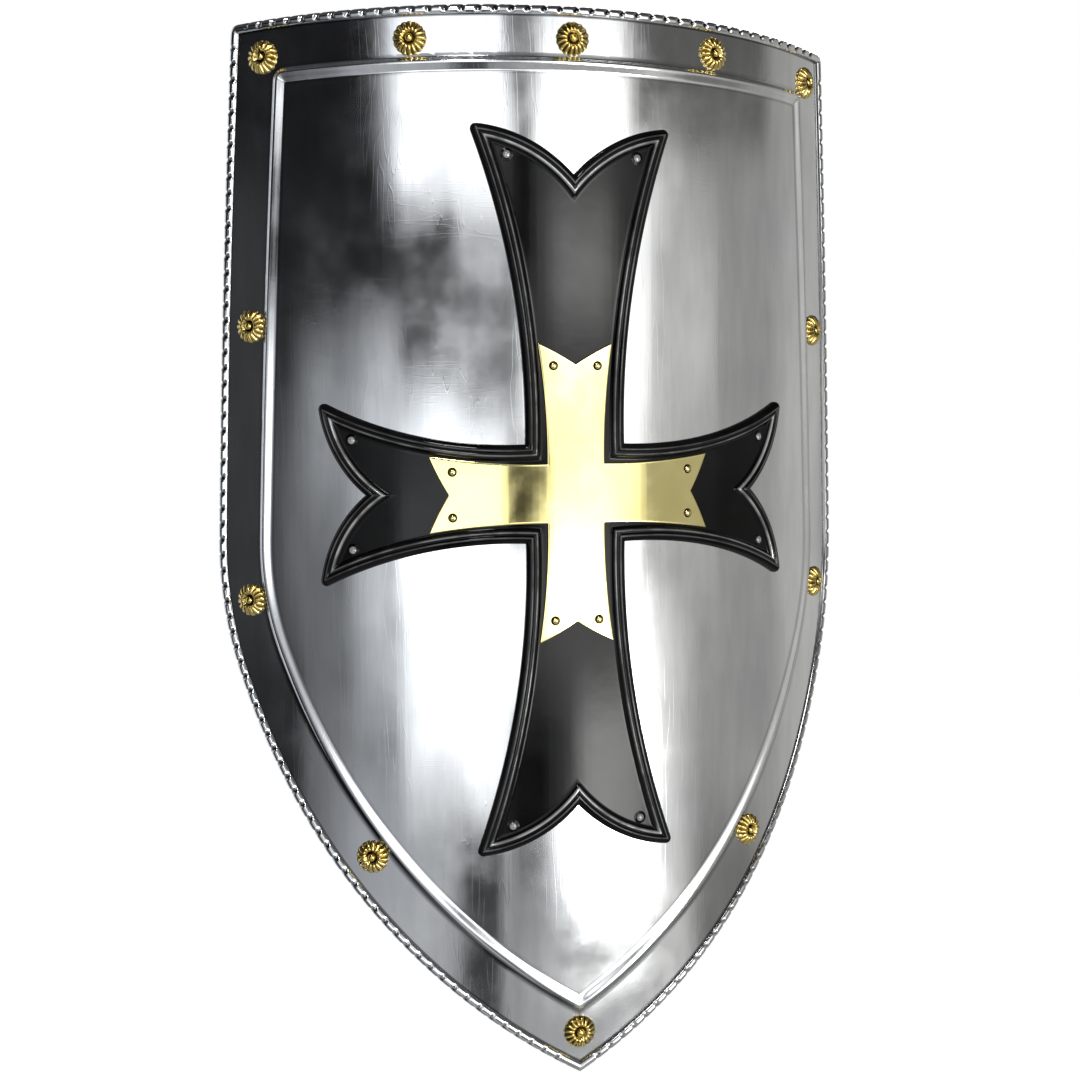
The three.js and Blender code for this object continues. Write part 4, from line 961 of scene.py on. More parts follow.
def strap_leg(side, reach, to_y, to_z, thick):
    """Corners from the leg down round a bridge and back up to the lapped end, and the rivet's place."""
    middle = BRIDGE_HEIGHT
    inner, outer = side * (reach - FOLD_HALF_WIDTH), side * (reach + FOLD_HALF_WIDTH)
    low, high = middle - FOLD_HALF_HEIGHT, middle + FOLD_HALF_HEIGHT
    start = np.array([inner, middle])
    along = np.array([side * to_y, to_z]) - start
    along /= np.linalg.norm(along)
    outward = np.array([along[1] * side, -along[0] * side])
    aside = (thick + LEATHER) / 2 - LAP_OVERLAP
    lap_start = LAP_START / along[1]
    turn_in = start + along * ((high - middle - outward[1] * aside) / along[1]) + outward * aside
    end = start + along * (lap_start + LAP_LENGTH) + outward * aside
    corners = [
        (start[0] + along[0] * 4 * MM, start[1] + along[1] * 4 * MM, thick),
        (start[0], start[1] - 0.6 * MM, LEATHER),
        (inner, low, LEATHER),
        (outer, low, LEATHER),
        (outer, high, LEATHER),
        (turn_in[0], turn_in[1], LEATHER),
        (end[0], end[1], LEATHER),
    ]
    rivet = start + along * (lap_start + RIVET_UP_LAP) + outward * (aside + LEATHER / 2)
    return corners, rivet, outward


print("a folded end is lapped over", LAP_LENGTH / MM, "mm")


# %% A rivet and a window in a strap
def strap_rivet(node, place, spot, outward, grip):
    mesh = turn_rivet(
        node, head=4 * MM, dome=1.2 * MM, shank=1.6 * MM, tail=3 * MM, tail_dome=0.8 * MM, grip=grip
    )
    out = Vector((0, outward[0], outward[1]))
    across = Vector((1, 0, 0))
    turn = Matrix((across, out.cross(across), out)).transposed().to_4x4()
    piece = linked(node.replace("rivet", "stud"), mesh)
    piece.matrix_world = place @ Matrix.Translation((0, spot[0], spot[1])) @ turn
    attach(piece, "shield")
    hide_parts(node)
    return piece


WINDOW_WIDTH = 4.4 * MM
WINDOW_DEPTH = 40 * MM
WINDOW_CORNER = 0.9 * MM


def cut_window(piece, low_y, high_y, middle_z):
    """Cuts the window for the tongue through a strap."""
    bm = bmesh.new()
    bmesh.ops.create_cube(bm, size=1.0)
    bmesh.ops.scale(bm, vec=(WINDOW_WIDTH, high_y - low_y, WINDOW_DEPTH), verts=bm.verts)
    upright = [e for e in bm.edges if abs((e.verts[0].co - e.verts[1].co).z) > 1 * MM]
    bmesh.ops.bevel(bm, geom=upright, offset=WINDOW_CORNER, segments=3, affect="EDGES", clamp_overlap=True)
    bmesh.ops.translate(bm, vec=(0, (low_y + high_y) / 2, middle_z), verts=bm.verts)
    cutter = linked("window", mesh_from(bm, "window"))
    cutter.matrix_world = piece.matrix_world
    cut = piece.modifiers.new("window", "BOOLEAN")
    cut.operation = "DIFFERENCE"
    cut.solver = "EXACT"
    cut.object = cutter
    bpy.context.view_layer.update()
    shaped = bpy.data.meshes.new_from_object(piece.evaluated_get(bpy.context.evaluated_depsgraph_get()))
    piece.modifiers.clear()
    piece.data = shaped
    bpy.data.objects.remove(cutter)


print("the tongue's window is %.1f mm wide" % (WINDOW_WIDTH / MM))

# %% Rows of stitches
STITCH_PITCH = 3.6 * MM
STITCH_LENGTH = 2.5 * MM
THREAD_RADIUS = 0.42 * MM
THREAD_SIDES = 6


def stitch_row(name, line, first, last, place):
    """Two rows of thread stitches on the side of a band that faces the wearer."""
    along, normals = normals_of(line)
    run = run_of(line)
    offset = STRAP_WIDTH / 2 - STITCH_INSET
    bm = bmesh.new()
    for done in np.arange(first * run[-1], last * run[-1], STITCH_PITCH):
        y, z, thick = (np.interp(done, run, line[:, k]) for k in range(3))
        tangent = np.array([np.interp(done, run, along[:, k]) for k in range(2)])
        normal = np.array([np.interp(done, run, normals[:, k]) for k in range(2)])
        for side in (-1, 1):
            rings = []
            for share in (-1.0, -0.85, -0.4, 0.4, 0.85, 1.0):
                # A stitch is thickest in its middle and dips into the leather at its ends
                girth = THREAD_RADIUS * math.sqrt(max(1 - share**4, 0.02))
                lift = thick / 2 - 0.05 * MM - 0.15 * MM * share**2
                centre = np.array([y, z]) + tangent * share * STITCH_LENGTH / 2 + normal * lift
                ring = []
                for k in range(THREAD_SIDES):
                    angle = 2 * math.pi * k / THREAD_SIDES
                    spot = centre + normal * (girth * math.sin(angle))
                    ring.append(bm.verts.new((side * offset + girth * math.cos(angle), spot[0], spot[1])))
                rings.append(ring)
            for a, b in zip(rings, rings[1:]):
                join_rings(bm, a, b)
            bm.faces.new(rings[0])
            bm.faces.new(rings[-1])
    piece = piece_from(bm, name, "shield")
    piece.matrix_world = place
    return piece


print("a stitch every %.1f mm" % (STITCH_PITCH / MM))

# %% The hand grip
grip_place = on_back(-STRAP_OFFSET, 0)
GRIP_LEATHER = 4 * MM
GRIP_FLAT = 22 * MM
GRIP_HEIGHT = 44 * MM
strap_profile = flat_section(STRAP_WIDTH, 0.035, 0.16)
upper_leg, upper_rivet, upper_out = strap_leg(1, GRIP_REACH, GRIP_FLAT, GRIP_HEIGHT, GRIP_LEATHER)
lower_leg, lower_rivet, lower_out = strap_leg(-1, GRIP_REACH, GRIP_FLAT, GRIP_HEIGHT, GRIP_LEATHER)
# The leather is a little thicker and higher in the middle of the palm
palm = (0, GRIP_HEIGHT + 0.2 * MM, GRIP_LEATHER + 0.8 * MM)
grip_corners = lower_leg[::-1] + [(-GRIP_FLAT, GRIP_HEIGHT, GRIP_LEATHER), palm]
grip_corners += [(GRIP_FLAT, GRIP_HEIGHT, GRIP_LEATHER)] + upper_leg
grip_line = bent_line(grip_corners, 9 * MM)
bm = bmesh.new()
sweep(bm, grip_line, strap_profile, "yzx", noses=(7 * MM, 7 * MM))
hand_grip = fitted(bm, "hand_strap", grip_place, "shield", "hand_grip")
grip_studs = [
    strap_rivet("grip_rivet_upper", grip_place, upper_rivet, upper_out, GRIP_LEATHER + LEATHER),
    strap_rivet("grip_rivet_lower", grip_place, lower_rivet, lower_out, GRIP_LEATHER + LEATHER),
]
grip_thread = stitch_row("hand_strap_thread", grip_line, 0.30, 0.70, grip_place)
print("hand strap:", len(grip_line), "stations")

# %% The forearm strap's half with the buckle
arm_place = on_back(STRAP_OFFSET, 0)
ARM_HEIGHT = 92 * MM
ARM_FLAT = 46 * MM
ARM_BEND = 4.5 * MM
upper_leg, upper_rivet, upper_out = strap_leg(1, ARM_REACH, ARM_FLAT, ARM_HEIGHT, LEATHER)
heel = [(18.5, 89.3), (9, 89.0), (4.6, 87.5), (-4.6, 87.5), (-4.6, 96.5), (4.0, 96.5), (10.5, 92.2), (16, 92)]
buckle_corners = [(y * MM, z * MM, LEATHER) for y, z in heel] + [(ARM_FLAT, ARM_HEIGHT, LEATHER)] + upper_leg
buckle_line = bent_line(buckle_corners, ARM_BEND)
bm = bmesh.new()
sweep(bm, buckle_line, strap_profile, "yzx", noses=(5 * MM, 7 * MM))
buckle_strap = fitted(bm, "forearm_strap_buckle_side", arm_place, "shield", "buckle_strap")
cut_window(buckle_strap, -12 * MM, 6.4 * MM, ARM_HEIGHT)
buckle_stud = strap_rivet("buckle_strap_rivet", arm_place, upper_rivet, upper_out, 2 * LEATHER)
buckle_thread = stitch_row("forearm_thread_buckle_side", buckle_line, 0.28, 0.70, arm_place)
print("buckle side:", len(buckle_line), "stations")

# %% The forearm strap's free half
# It passes under the frame's front bar, over its heel bar and into the keeper
TAIL_UNDER, TAIL_OVER, TAIL_REST = 88.4 * MM, 99.9 * MM, 95.4 * MM
lower_leg, lower_rivet, lower_out = strap_leg(-1, ARM_REACH, ARM_FLAT, TAIL_UNDER, LEATHER)
rise = [(-46, TAIL_UNDER), (-26.6, TAIL_UNDER), (-5.2, TAIL_OVER), (5.2, TAIL_OVER), (16.5, TAIL_REST)]
rise += [(40, TAIL_REST)]
tail_corners = lower_leg[::-1] + [(y * MM, z, LEATHER) for y, z in rise]
tail_line = bent_line(tail_corners, ARM_BEND)
bm = bmesh.new()
sweep(bm, tail_line, strap_profile, "yzx", noses=(7 * MM, 11 * MM))
tail_strap = fitted(bm, "forearm_strap_free_side", arm_place, "shield", "tail_strap")
cut_window(tail_strap, -22.5 * MM, -3.5 * MM, ARM_HEIGHT)
tail_stud = strap_rivet("tail_strap_rivet", arm_place, lower_rivet, lower_out, 2 * LEATHER)
tail_thread = stitch_row("forearm_thread_free_side", tail_line, 0.28, 0.60, arm_place)
print("free side:", len(tail_line), "stations")

# %% The buckle's frame
FRAME_HALF = 18.5 * MM
FRAME_REACH = 30 * MM
FRAME_BAR = 4 * MM
FRAME_THICK = 3.6 * MM
ring = [(FRAME_HALF, 0.0), (-FRAME_HALF, 0.0), (-FRAME_HALF, -FRAME_REACH), (FRAME_HALF, -FRAME_REACH)]
frame_line = bent_line([(x, y, FRAME_BAR) for x, y in ring], 3.4 * MM, 0.8 * MM, True)
bm = bmesh.new()
sweep(bm, frame_line, round_section(FRAME_THICK, 0.8), "xyz", True)
at_heel = arm_place @ Matrix.Translation((0, 0, ARM_HEIGHT))
buckle_frame = fitted(bm, "buckle_bow", at_heel, "buckle", "buckle_frame")
print("buckle frame:", len(frame_line), "stations")

# %% The buckle's tongue
GAP = 0.3 * MM
TONGUE_WIDTH = 3 * MM
TONGUE_THICK = 2.4 * MM
EYE_HALF = 3.8 * MM
EYE_THICK = 1.6 * MM
slope = math.atan2(FRAME_THICK / 2 + GAP + 1.3 * MM, FRAME_REACH)
far = (FRAME_REACH + 2 * MM) / math.cos(slope) + 3 * MM
eye = [(side_y * EYE_HALF, side_z * EYE_HALF) for side_y, side_z in ((-1, -1), (1, -1), (1, 1), (-1, 1))]
eye_line = bent_line([(y, z, EYE_THICK) for y, z in eye], 3.4 * MM, 0.5 * MM, True)
shaft = [(-3.6 * MM, 0, TONGUE_THICK), (-0.8 * far, 0, TONGUE_THICK), (-far, -0.4 * MM, 1.5 * MM)]
shaft_line = bent_line(shaft, 8 * MM, 0.8 * MM)
bm = bmesh.new()
sweep(bm, eye_line, round_section(TONGUE_WIDTH, 0.6), "yzx", True)
sweep(bm, shaft_line, round_section(TONGUE_WIDTH, 0.7), "yzx", noses=(0.0, 3 * MM))
tongue_place = at_heel @ Matrix.Rotation(-slope, 4, "X")
buckle_tongue = fitted(bm, "buckle_pin", tongue_place, "tongue", "buckle_tongue")
print("the buckle's pin rests at %.1f degrees" % math.degrees(slope))

# %% The keeper
KEEPER_ROOM = 2.9 * MM
KEEPER_LEATHER = 2 * MM
half, low, high = STRAP_WIDTH / 2 + 1.4 * MM, ARM_HEIGHT - KEEPER_ROOM, TAIL_REST + KEEPER_ROOM
loop = [(x, z, KEEPER_LEATHER) for x, z in ((half, low), (-half, low), (-half, high), (half, high))]
bm = bmesh.new()
sweep(bm, bent_line(loop, 2.2 * MM, 0.8 * MM, True), flat_section(8 * MM, 0.1), "xzy", True)
keeper_place = arm_place @ Matrix.Translation((0, 27 * MM, 0))
keeper = fitted(bm, "strap_loop", keeper_place, "keeper", "strap_keeper")
print("the keeper is %.1f mm high inside" % ((high - low - KEEPER_LEATHER) / MM))

# %% [markdown]
# ## Finishes
# Polished sheet steel isn't a perfect mirror: the sheet is a little uneven, so reflections wander, and fine
# upright polishing lines blur them. The black enamel is a dark base under a clear gloss, and the brass has
# the same fine lines as the steel. Each finish is a few noise textures that steer roughness and bump.

# %% Helpers for finishes
def new_finish(name):
    finish = bpy.data.materials.new(name)
    finish.use_nodes = True
    tree = finish.node_tree
    return finish, tree, tree.nodes["Principled BSDF"]


def feed(tree, value, socket):
    """Joins another node's output to a socket, or sets the socket to a plain value."""
    if isinstance(value, bpy.types.NodeSocket):
        tree.links.new(value, socket)
    else:
        socket.default_value = value


def combined(tree, operation, *values):
    """One step of arithmetic on plain numbers or other nodes' outputs."""
    node = tree.nodes.new("ShaderNodeMath")
    node.operation = operation
    for value, socket in zip(values, node.inputs):
        feed(tree, value, socket)
    return node.outputs[0]


def noise(tree, scale, detail, stretch=(1, 1, 1), turn=0.0):
    """Noise over the piece's own coordinates, drawn out where stretch is small and turned about y."""
    coordinates = tree.nodes.new("ShaderNodeTexCoord")
    mapping = tree.nodes.new("ShaderNodeMapping")
    mapping.inputs["Scale"].default_value = stretch
    mapping.inputs["Rotation"].default_value = (0, turn, 0)
    texture = tree.nodes.new("ShaderNodeTexNoise")
    texture.inputs["Scale"].default_value = scale
    texture.inputs["Detail"].default_value = detail
    tree.links.new(coordinates.outputs["Object"], mapping.inputs["Vector"])
    tree.links.new(mapping.outputs["Vector"], texture.inputs["Vector"])
    return texture.outputs["Fac"]


def spread(tree, value, low, high, start=0.35, end=0.65):
    """Maps the middle of a noise to a range."""
    node = tree.nodes.new("ShaderNodeMapRange")
    node.inputs["From Min"].default_value = start
    node.inputs["From Max"].default_value = end
    node.inputs["To Min"].default_value = low
    node.inputs["To Max"].default_value = high
    tree.links.new(value, node.inputs["Value"])
    return node.outputs["Result"]


def bump(tree, height, distance, strength, below=None):
    """Raises the surface where a value is high, on top of the bumps below."""
    node = tree.nodes.new("ShaderNodeBump")
    node.inputs["Distance"].default_value = distance
    node.inputs["Strength"].default_value = strength
    tree.links.new(height, node.inputs["Height"])
    if below is not None:
        tree.links.new(below, node.inputs["Normal"])
    return node.outputs["Normal"]


def tint(tree, share, first, second, mode="MIX"):
    """Mixes two colours by a share, and each of the three may be another node's output."""
    node = tree.nodes.new("ShaderNodeMix")
    node.data_type = "RGBA"
    node.blend_type = mode
    feed(tree, share, node.inputs["Factor"])
    for colour, name in ((first, "A"), (second, "B")):
        feed(tree, (*colour, 1) if isinstance(colour, tuple) else colour, node.inputs[name])
    return node.outputs["Result"]


def wear_and_painted_light_mark(tree):
    """The mark that a mesh carries for edges darkened by handling, paint thinned on ridges, painted shade and
    painted highlights.
    """
    mark = tree.nodes.new("ShaderNodeAttribute")
    mark.attribute_name = "edge"
    return mark.outputs["Fac"]


def coat(pieces, finish):
    """Gives the pieces a finish, in every slot that they have."""
    for piece in pieces:
        if not piece.data.materials:
            piece.data.materials.append(finish)
        for index in range(len(piece.data.materials)):
            piece.data.materials[index] = finish


print("helpers for finishes are ready")


# %% Polished steel
def scratches(tree, scale, stretch, turn):
    """Thin lines: the narrow ridge of a noise that is drawn out along one direction."""
    from_middle = combined(tree, "SUBTRACT", noise(tree, scale, 1.0, stretch, turn), 0.5)
    return spread(tree, combined(tree, "ABSOLUTE", from_middle), 1, 0, 0.0, 0.012)


def polished_steel():
    finish, tree, shader = new_finish("polished_steel")
    shader.inputs["Metallic"].default_value = 1.0
    cloud = tint(tree, spread(tree, noise(tree, 9, 3), 0, 1), (0.70, 0.71, 0.73), (0.80, 0.80, 0.81))
    uneven = spread(tree, noise(tree, 40, 7, (2.2, 2.2, 0.45)), 0, 1)
    streaks = tint(tree, uneven, (0.9, 0.9, 0.91), (1.0, 1.0, 1.0))
    clean = tint(tree, 1.0, cloud, streaks, "MULTIPLY")
    # The mark darkens the steel with painted shade: in the crease beside the rolled edge, in the bead's
    # creases and slopes and in the rope's nicks
    tree.links.new(tint(tree, wear_and_painted_light_mark(tree), clean, (0.02, 0.02, 0.022)), shader.inputs["Base Color"])
    tree.links.new(spread(tree, noise(tree, 26, 8), 0.07, 0.17), shader.inputs["Roughness"])
    wander = bump(tree, noise(tree, 6.5, 2, (1, 1, 0.35)), 1.7 * MM, 0.45)
    lines = bump(tree, noise(tree, 70, 6, (14, 14, 0.3)), 0.02 * MM, 0.4, wander)
    upright = bump(tree, scratches(tree, 26, (6, 6, 0.5), 0.12), 0.012 * MM, 0.6, lines)
    crossing = bump(tree, scratches(tree, 20, (0.8, 0.8, 7), 0.5), 0.01 * MM, 0.2, upright)
    tree.links.new(crossing, shader.inputs["Normal"])
    return finish


coat([steel_sheet, rope_edge], polished_steel())
print("steel finish on", steel_sheet.name, "and", rope_edge.name)


# %% Black enamel
def black_enamel():
    finish, tree, shader = new_finish("black_enamel")
    scuffs = spread(tree, noise(tree, 55, 4), 0.35, 1.0, 0.4, 0.6)
    wear_and_painted_light = combined(tree, "MULTIPLY", wear_and_painted_light_mark(tree), scuffs)
    cloud = spread(tree, noise(tree, 16, 5), 0, 1, 0.45, 0.7)
    haze = tint(tree, cloud, (0.0015, 0.0015, 0.0017), (0.009, 0.009, 0.01))
    tree.links.new(tint(tree, wear_and_painted_light, haze, (0.8, 0.8, 0.81)), shader.inputs["Base Color"])
    # Marked ridges and rivet tops show bare steel through scuffed primer, so only part of it is metal, and
    # their light grey is also a painted highlight
    tree.links.new(combined(tree, "MULTIPLY", wear_and_painted_light, 0.55), shader.inputs["Metallic"])
    shader.inputs["Specular IOR Level"].default_value = 0.2
    tree.links.new(spread(tree, noise(tree, 40, 5), 0.05, 0.11), shader.inputs["Roughness"])
    peel = bump(tree, noise(tree, 90, 2), 0.05 * MM, 0.5)
    tree.links.new(bump(tree, noise(tree, 14, 2), 0.5 * MM, 0.35, peel), shader.inputs["Normal"])
    return finish


# Rivets of one kind share a mesh, so the finish of the first is the finish of all
coat([black_cross, black_rivets[0]], black_enamel())
print("enamel on", black_cross.name)


# %% Brass
def polished_brass(name, low, high, rough, waves):
    finish, tree, shader = new_finish(name)
    shader.inputs["Metallic"].default_value = 1.0
    colour = tint(tree, spread(tree, noise(tree, 30, 4), 0, 1), low, high)
    # The mark darkens the brass with painted shade in the rosettes' grooves and round the rivets' feet
    tree.links.new(tint(tree, wear_and_painted_light_mark(tree), colour, (0.035, 0.02, 0.005)), shader.inputs["Base Color"])
    tree.links.new(spread(tree, noise(tree, 60, 6), rough, rough + 0.07), shader.inputs["Roughness"])
    lines = bump(tree, noise(tree, 80, 5, (12, 12, 0.5)), 0.02 * MM, 0.15)
    tree.links.new(bump(tree, noise(tree, waves[0], 2), waves[1], 0.45, lines), shader.inputs["Normal"])
    return finish


sheet_brass = polished_brass("sheet_brass", (0.76, 0.66, 0.28), (0.82, 0.72, 0.34), 0.04, (7, 0.5 * MM))
stamped_brass = polished_brass("stamped_brass", (0.68, 0.49, 0.14), (0.84, 0.66, 0.26), 0.12, (18, 0.7 * MM))
coat([brass_cross, gold_rivets[0]], sheet_brass)
coat([daisies[0], daisy_rivets[0]], stamped_brass)
print("brass on", len(daisies), "rosettes and the small cross")

# %% [markdown]
# ## Leather and dull fittings
# Vegetable-tanned leather has a fine cell grain, soft creases and edges that handling has darkened and
# polished. The sweep marked the edges of each band, so the finish mixes a darker brown in there. The fittings
# are mild steel with a thin grey scale, so they are rougher than the polished plate.

# %% Leather, thread and fittings
def worn_leather():
    finish, tree, shader = new_finish("worn_leather")
    cloud = spread(tree, noise(tree, 35, 5), 0, 1)
    blotch = tint(tree, cloud, (0.075, 0.028, 0.011), (0.19, 0.082, 0.033))
    pits = spread(tree, noise(tree, 420, 3), 0, 1, 0.38, 0.6)
    pores = tint(tree, pits, (0.62, 0.58, 0.55), (1.0, 1.0, 1.0))
    body = tint(tree, 1.0, blotch, pores, "MULTIPLY")
    tree.links.new(tint(tree, wear_and_painted_light_mark(tree), body, (0.028, 0.014, 0.008)), shader.inputs["Base Color"])
    tree.links.new(spread(tree, noise(tree, 90, 5), 0.42, 0.62), shader.inputs["Roughness"])
    cells = tree.nodes.new("ShaderNodeTexVoronoi")
    cells.feature = "DISTANCE_TO_EDGE"
    cells.inputs["Scale"].default_value = 750
    coordinates = tree.nodes.new("ShaderNodeTexCoord")
    tree.links.new(coordinates.outputs["Object"], cells.inputs["Vector"])
    creases = bump(tree, noise(tree, 150, 5, (1, 2.5, 2.5)), 0.7 * MM, 0.6)
    grain = bump(tree, spread(tree, cells.outputs["Distance"], 0, 1, 0, 0.12), 0.12 * MM, 0.5, creases)
    tree.links.new(grain, shader.inputs["Normal"])
    return finish


def waxed_thread():
    finish, tree, shader = new_finish("waxed_thread")
    strands = noise(tree, 900, 2, (1, 3, 3))
    colour = tint(tree, spread(tree, strands, 0, 1), (0.42, 0.33, 0.20), (0.66, 0.56, 0.38))
    tree.links.new(colour, shader.inputs["Base Color"])
    shader.inputs["Roughness"].default_value = 0.6
    tree.links.new(bump(tree, strands, 0.1 * MM, 0.6), shader.inputs["Normal"])
    return finish


def dull_steel():
    finish, tree, shader = new_finish("dull_steel")
    shader.inputs["Metallic"].default_value = 1.0
    cloud = spread(tree, noise(tree, 120, 6), 0, 1)
    tree.links.new(tint(tree, cloud, (0.17, 0.165, 0.16), (0.44, 0.43, 0.42)), shader.inputs["Base Color"])
    tree.links.new(spread(tree, noise(tree, 260, 6), 0.28, 0.5), shader.inputs["Roughness"])
    tree.links.new(bump(tree, noise(tree, 400, 4), 0.12 * MM, 0.4), shader.inputs["Normal"])
    return finish


fittings = bridges + grip_studs + [buckle_stud, tail_stud, buckle_frame, buckle_tongue]
coat([hand_grip, buckle_strap, tail_strap, keeper], worn_leather())
coat([grip_thread, buckle_thread, tail_thread], waxed_thread())
coat(fittings, dull_steel())
print("leather on four bands, dull steel on", len(fittings), "fittings")

# %% [markdown]
# ## The studio
# Polished metal shows its surroundings more than itself. The photograph shows a dark room on the shield's
# left, a wide white window in front and a grey wall on its right, so cards with those tones stand round the
# shield. Only reflections see the cards. The background is white for the camera and for reflections, and
# the floor is pale and lies well below, since the shield is held up.

# %% Camera at the photograph's place
CAMERA_PLACE = (-302.2 * MM, -1106.9 * MM, 41.7 * MM)
CAMERA_TURN = (math.radians(-14.65), math.radians(-3.75), math.radians(0.5))
FOCAL_SHARE = 1673 / 1080
SENSOR_WIDTH = 36.0


def set_camera():
    yaw, pitch, roll = CAMERA_TURN
    heading = Matrix.Rotation(yaw, 3, "Z") @ Matrix.Rotation(pitch, 3, "X") @ Matrix.Rotation(roll, 3, "Y")
    right, forward, up = (heading @ Vector(axis) for axis in ((1, 0, 0), (0, 1, 0), (0, 0, 1)))
    data = bpy.data.cameras.new("camera")
    data.sensor_width = SENSOR_WIDTH
    data.lens = SENSOR_WIDTH * FOCAL_SHARE
    data.clip_start, data.clip_end = 0.05, 50
    camera = bpy.data.objects.new("camera", data)
    turn = Matrix((right, up, -forward)).transposed().to_4x4()
    camera.matrix_world = Matrix.Translation(CAMERA_PLACE) @ turn
    bpy.context.scene.collection.objects.link(camera)
    bpy.context.scene.camera = camera
    return forward


forward = set_camera()
print("the camera looks along (%.3f, %.3f, %.3f)" % tuple(forward))

# %% White surroundings and the floor
FLOOR_DROP = 2.4
FLOOR_GLOW = 0.5
WORLD_LIGHT = 0.55


def white_world():
    """A soft white light on the shield, and a plain white background for the camera and reflections."""
    world = bpy.data.worlds.new("white_room")
    world.use_nodes = True
    tree = world.node_tree
    light = tree.nodes["Background"]
    light.inputs["Color"].default_value = (1, 1, 1, 1)
    light.inputs["Strength"].default_value = WORLD_LIGHT
    seen = tree.nodes.new("ShaderNodeBackground")
    seen.inputs["Color"].default_value = (1, 1, 1, 1)
    seen.inputs["Strength"].default_value = 1.0
    rays = tree.nodes.new("ShaderNodeLightPath").outputs
    direct = combined(tree, "MAXIMUM", rays["Is Camera Ray"], rays["Is Glossy Ray"])
    mix = tree.nodes.new("ShaderNodeMixShader")
    feed(tree, combined(tree, "MAXIMUM", direct, rays["Is Transmission Ray"]), mix.inputs["Fac"])
    tree.links.new(light.outputs[0], mix.inputs[1])
    tree.links.new(seen.outputs[0], mix.inputs[2])
    tree.links.new(mix.outputs[0], tree.nodes["World Output"].inputs["Surface"])
    bpy.context.scene.world = world


def pale_floor():
    """A white floor that keeps the shield's shadow and still looks pale to the camera and in reflections."""
    bm = bmesh.new()
    bmesh.ops.create_grid(bm, x_segments=8, y_segments=8, size=12)
    floor = linked("floor", mesh_from(bm, "floor"))
    floor.location = (0, 0, -FLOOR_DROP)
    finish, tree, shader = new_finish("floor_white")
    shader.inputs["Base Color"].default_value = (0.95, 0.95, 0.95, 1)
    shader.inputs["Roughness"].default_value = 0.9
    shader.inputs["Specular IOR Level"].default_value = 0.0
    shader.inputs["Emission Color"].default_value = (1, 1, 1, 1)
    rays = tree.nodes.new("ShaderNodeLightPath").outputs
    seen = combined(tree, "MAXIMUM", rays["Is Camera Ray"], rays["Is Glossy Ray"])
    feed(tree, combined(tree, "MULTIPLY", seen, FLOOR_GLOW), shader.inputs["Emission Strength"])
    coat([floor], finish)


white_world()
pale_floor()
print("the floor lies %.2f m below the arm" % FLOOR_DROP)

# %% [markdown]
# ## Cards that the steel reflects
# A photographer shapes polished metal with white, grey and black cards. They stand here on one dome round the
# shield: each is a patch with soft edges, given by its direction from straight in front, its height above the
# horizon and its tone. The tones are worked out once for the dome's points and stored there, which renders
# faster than a chain of nodes. Only reflections see the dome.

# %% Cards on a dome
DOME_RADIUS = 3.2
DOME_FOOT = 0.03 - FLOOR_DROP
ROOM_TONE = 0.5
# Name, middle direction, half width, softness, lower and upper height, softness (all in degrees), tone
CARDS = [
    ("white wall in front", 12, 48, 4, -90, 60, 4, 2.0),
    ("wall above the windows", 12, 48, 4, 19.5, 60, 2, 0.55),
    ("dark doorway", -72, 32, 4, -90, 60, 4, 0.014),
    ("dim hall", -90, 18, 5, -12, 12, 3, 0.05),
    ("lit wall on the left", -128, 22, 5, -28, 60, 4, 1.0),
    ("pale floor by the doorway", -56, 17, 7, -90, 1, 3, 0.19),
    ("dark floor by the doorway", -86, 20, 3, -18, -8.5, 2, 0.03),
    ("light through the doorway", -53, 11, 7, -2, 5, 3, 0.42),
    ("low light by the doorway", -43, 6, 5, -11, -3, 3, 0.75),
    ("edge of the wall", -38, 8, 6, -3, 5, 3, 0.9),
    ("dark shelf", -45, 28, 4, 6.0, 11.2, 1.3, 0.02),
    ("shadow under the shelf", -19, 18, 4, 2.6, 8.6, 1.3, 0.07),
    ("shadow beside the shelf", -9, 9, 4, 1.0, 10.5, 2, 0.22),
    ("left window", -21, 15, 3, -6, -0.8, 1.5, 2.8),
    ("camera", 1.5, 6.5, 1.3, -4.5, 0.3, 0.9, 0.09),
    ("window bar", 1, 5, 3, 15.5, 60, 1.5, 0.04),
    ("thin window bar", 1, 2.8, 2, 8, 60, 2, 0.2),
    ("high window", 18, 9, 5, 5.6, 10.8, 3, 10.5),
    ("low window", 27, 11, 5, -22, -10.5, 3, 15.0),
    ("bright front", 18, 12, 6, -11, -3, 3, 4.0),
    ("dim floor", -36, 20, 8, -90, -14, 4, 0.5),
    ("dark floor", -13, 8, 4, -90, -16.6, 1.3, 0.05),
    ("dark stand", 1, 7, 4, -90, -12, 2, 0.15),
    ("floor in front", 21, 24, 6, -90, -20.0, 2, 0.45),
    ("grey wall", 71, 30, 18, -90, 60, 5, 0.37),
    ("edge of the grey wall", 51, 11, 3, 1.5, 11, 2, 0.62),
    ("post beside the wall", 49.5, 13, 1.6, -7, 1.2, 1.5, 0.5),
    ("pale end of the wall", 103, 14, 6, -15, 11, 3, 0.52),
    ("foot of the wall", 67, 12, 4, -90, -17, 2, 0.2),
    ("dark upper wall", 58, 25.5, 4, 13.2, 60, 1.5, 0.12),
    ("dark ceiling", 0, 180, 1, 34, 90, 8, 0.07),
    ("window behind", 178, 26, 10, -8, 26, 8, 1.3),
    ("dark door behind", 132, 14, 8, -30, 40, 8, 0.12),
]


def share_inside(distance_inside, softness):
    """1 well inside a card's edge and 0 well outside it."""
    share = np.clip((distance_inside + softness) / (2 * softness), 0, 1)
    return share * share * (3 - 2 * share)


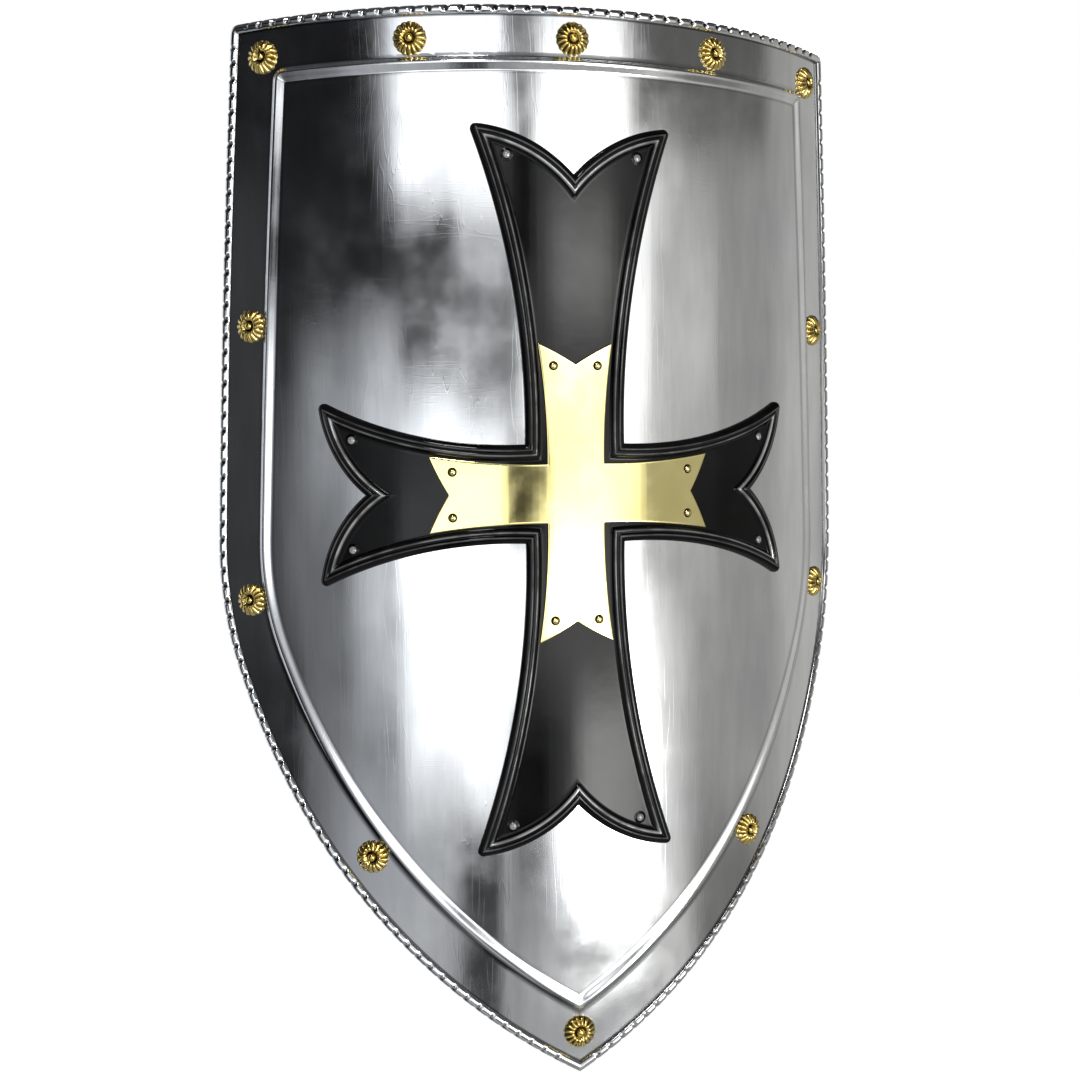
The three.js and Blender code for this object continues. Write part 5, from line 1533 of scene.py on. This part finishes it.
def room_tone(direction, height):
    """The tone of the room in a direction, after every card has been laid over it."""
    tone = np.full(direction.shape, ROOM_TONE)
    for _, middle, half, soft, low, high, soft_height, card_tone in CARDS:
        away = np.abs((direction - middle + 180) % 360 - 180)
        cover = share_inside(half - away, soft)
        cover = cover * share_inside(height - low, soft_height) * share_inside(high - height, soft_height)
        tone = tone * (1 - cover) + card_tone * cover
    return tone


def room_dome():
    """The dome with the room's tones, which only reflections see, and which stops just above the floor."""
    bm = bmesh.new()
    bmesh.ops.create_uvsphere(bm, u_segments=240, v_segments=160, radius=DOME_RADIUS)
    mesh = smooth_mesh(bm, "room_dome")
    points = np.array([v.co for v in mesh.vertices])
    direction = np.degrees(np.arctan2(points[:, 0], -points[:, 1]))
    height = np.degrees(np.arcsin(np.clip(points[:, 2] / DOME_RADIUS, -1, 1)))
    points[:, 2] = np.maximum(points[:, 2], DOME_FOOT)
    mesh.vertices.foreach_set("co", points.ravel())
    tones = mesh.attributes.new("tone", "FLOAT", "POINT")
    tones.data.foreach_set("value", room_tone(direction, height).astype(np.float32))
    dome = linked("room_dome", mesh)
    dome.visible_camera = False
    dome.visible_diffuse = False
    dome.visible_transmission = False
    dome.visible_shadow = False
    finish = bpy.data.materials.new("room_tones")
    finish.use_nodes = True
    tree = finish.node_tree
    tree.nodes.remove(tree.nodes["Principled BSDF"])
    stored = tree.nodes.new("ShaderNodeAttribute")
    stored.attribute_name = "tone"
    light = tree.nodes.new("ShaderNodeEmission")
    tree.links.new(stored.outputs["Fac"], light.inputs["Strength"])
    # Daylight on the left is cooler than the room's light on the right
    place = tree.nodes.new("ShaderNodeTexCoord")
    sides = tree.nodes.new("ShaderNodeSeparateXYZ")
    tree.links.new(place.outputs["Object"], sides.inputs[0])
    warmth = spread(tree, sides.outputs["X"], 0, 1, -2.4, 2.4)
    tree.links.new(tint(tree, warmth, (0.955, 0.995, 1.03), (1.015, 1.01, 0.965)), light.inputs["Color"])
    tree.links.new(light.outputs[0], tree.nodes["Material Output"].inputs["Surface"])
    coat([dome], finish)


room_dome()
print(len(CARDS), "cards on a dome of %.1f m" % DOME_RADIUS)

# %% Soft lamps
def soft_lamp(name, place, target, width, height, power):
    data = bpy.data.lights.new(name, "AREA")
    data.shape = "RECTANGLE"
    data.size, data.size_y = width, height
    data.energy = power
    lamp = bpy.data.objects.new(name, data)
    lamp.location = place
    lamp.rotation_mode = "QUATERNION"
    lamp.rotation_quaternion = (Vector(target) - Vector(place)).to_track_quat("-Z", "Y")
    bpy.context.scene.collection.objects.link(lamp)
    return lamp


key = soft_lamp("key_lamp", (-0.5, -1.7, 1.5), (0, 0, 0.05), 0.32, 0.32, 11)
back_fill = soft_lamp("back_fill", (0.9, 1.9, 1.1), (0, 0, 0.0), 0.9, 0.9, 14)
print("lamps:", key.data.energy, "W and", back_fill.data.energy, "W")
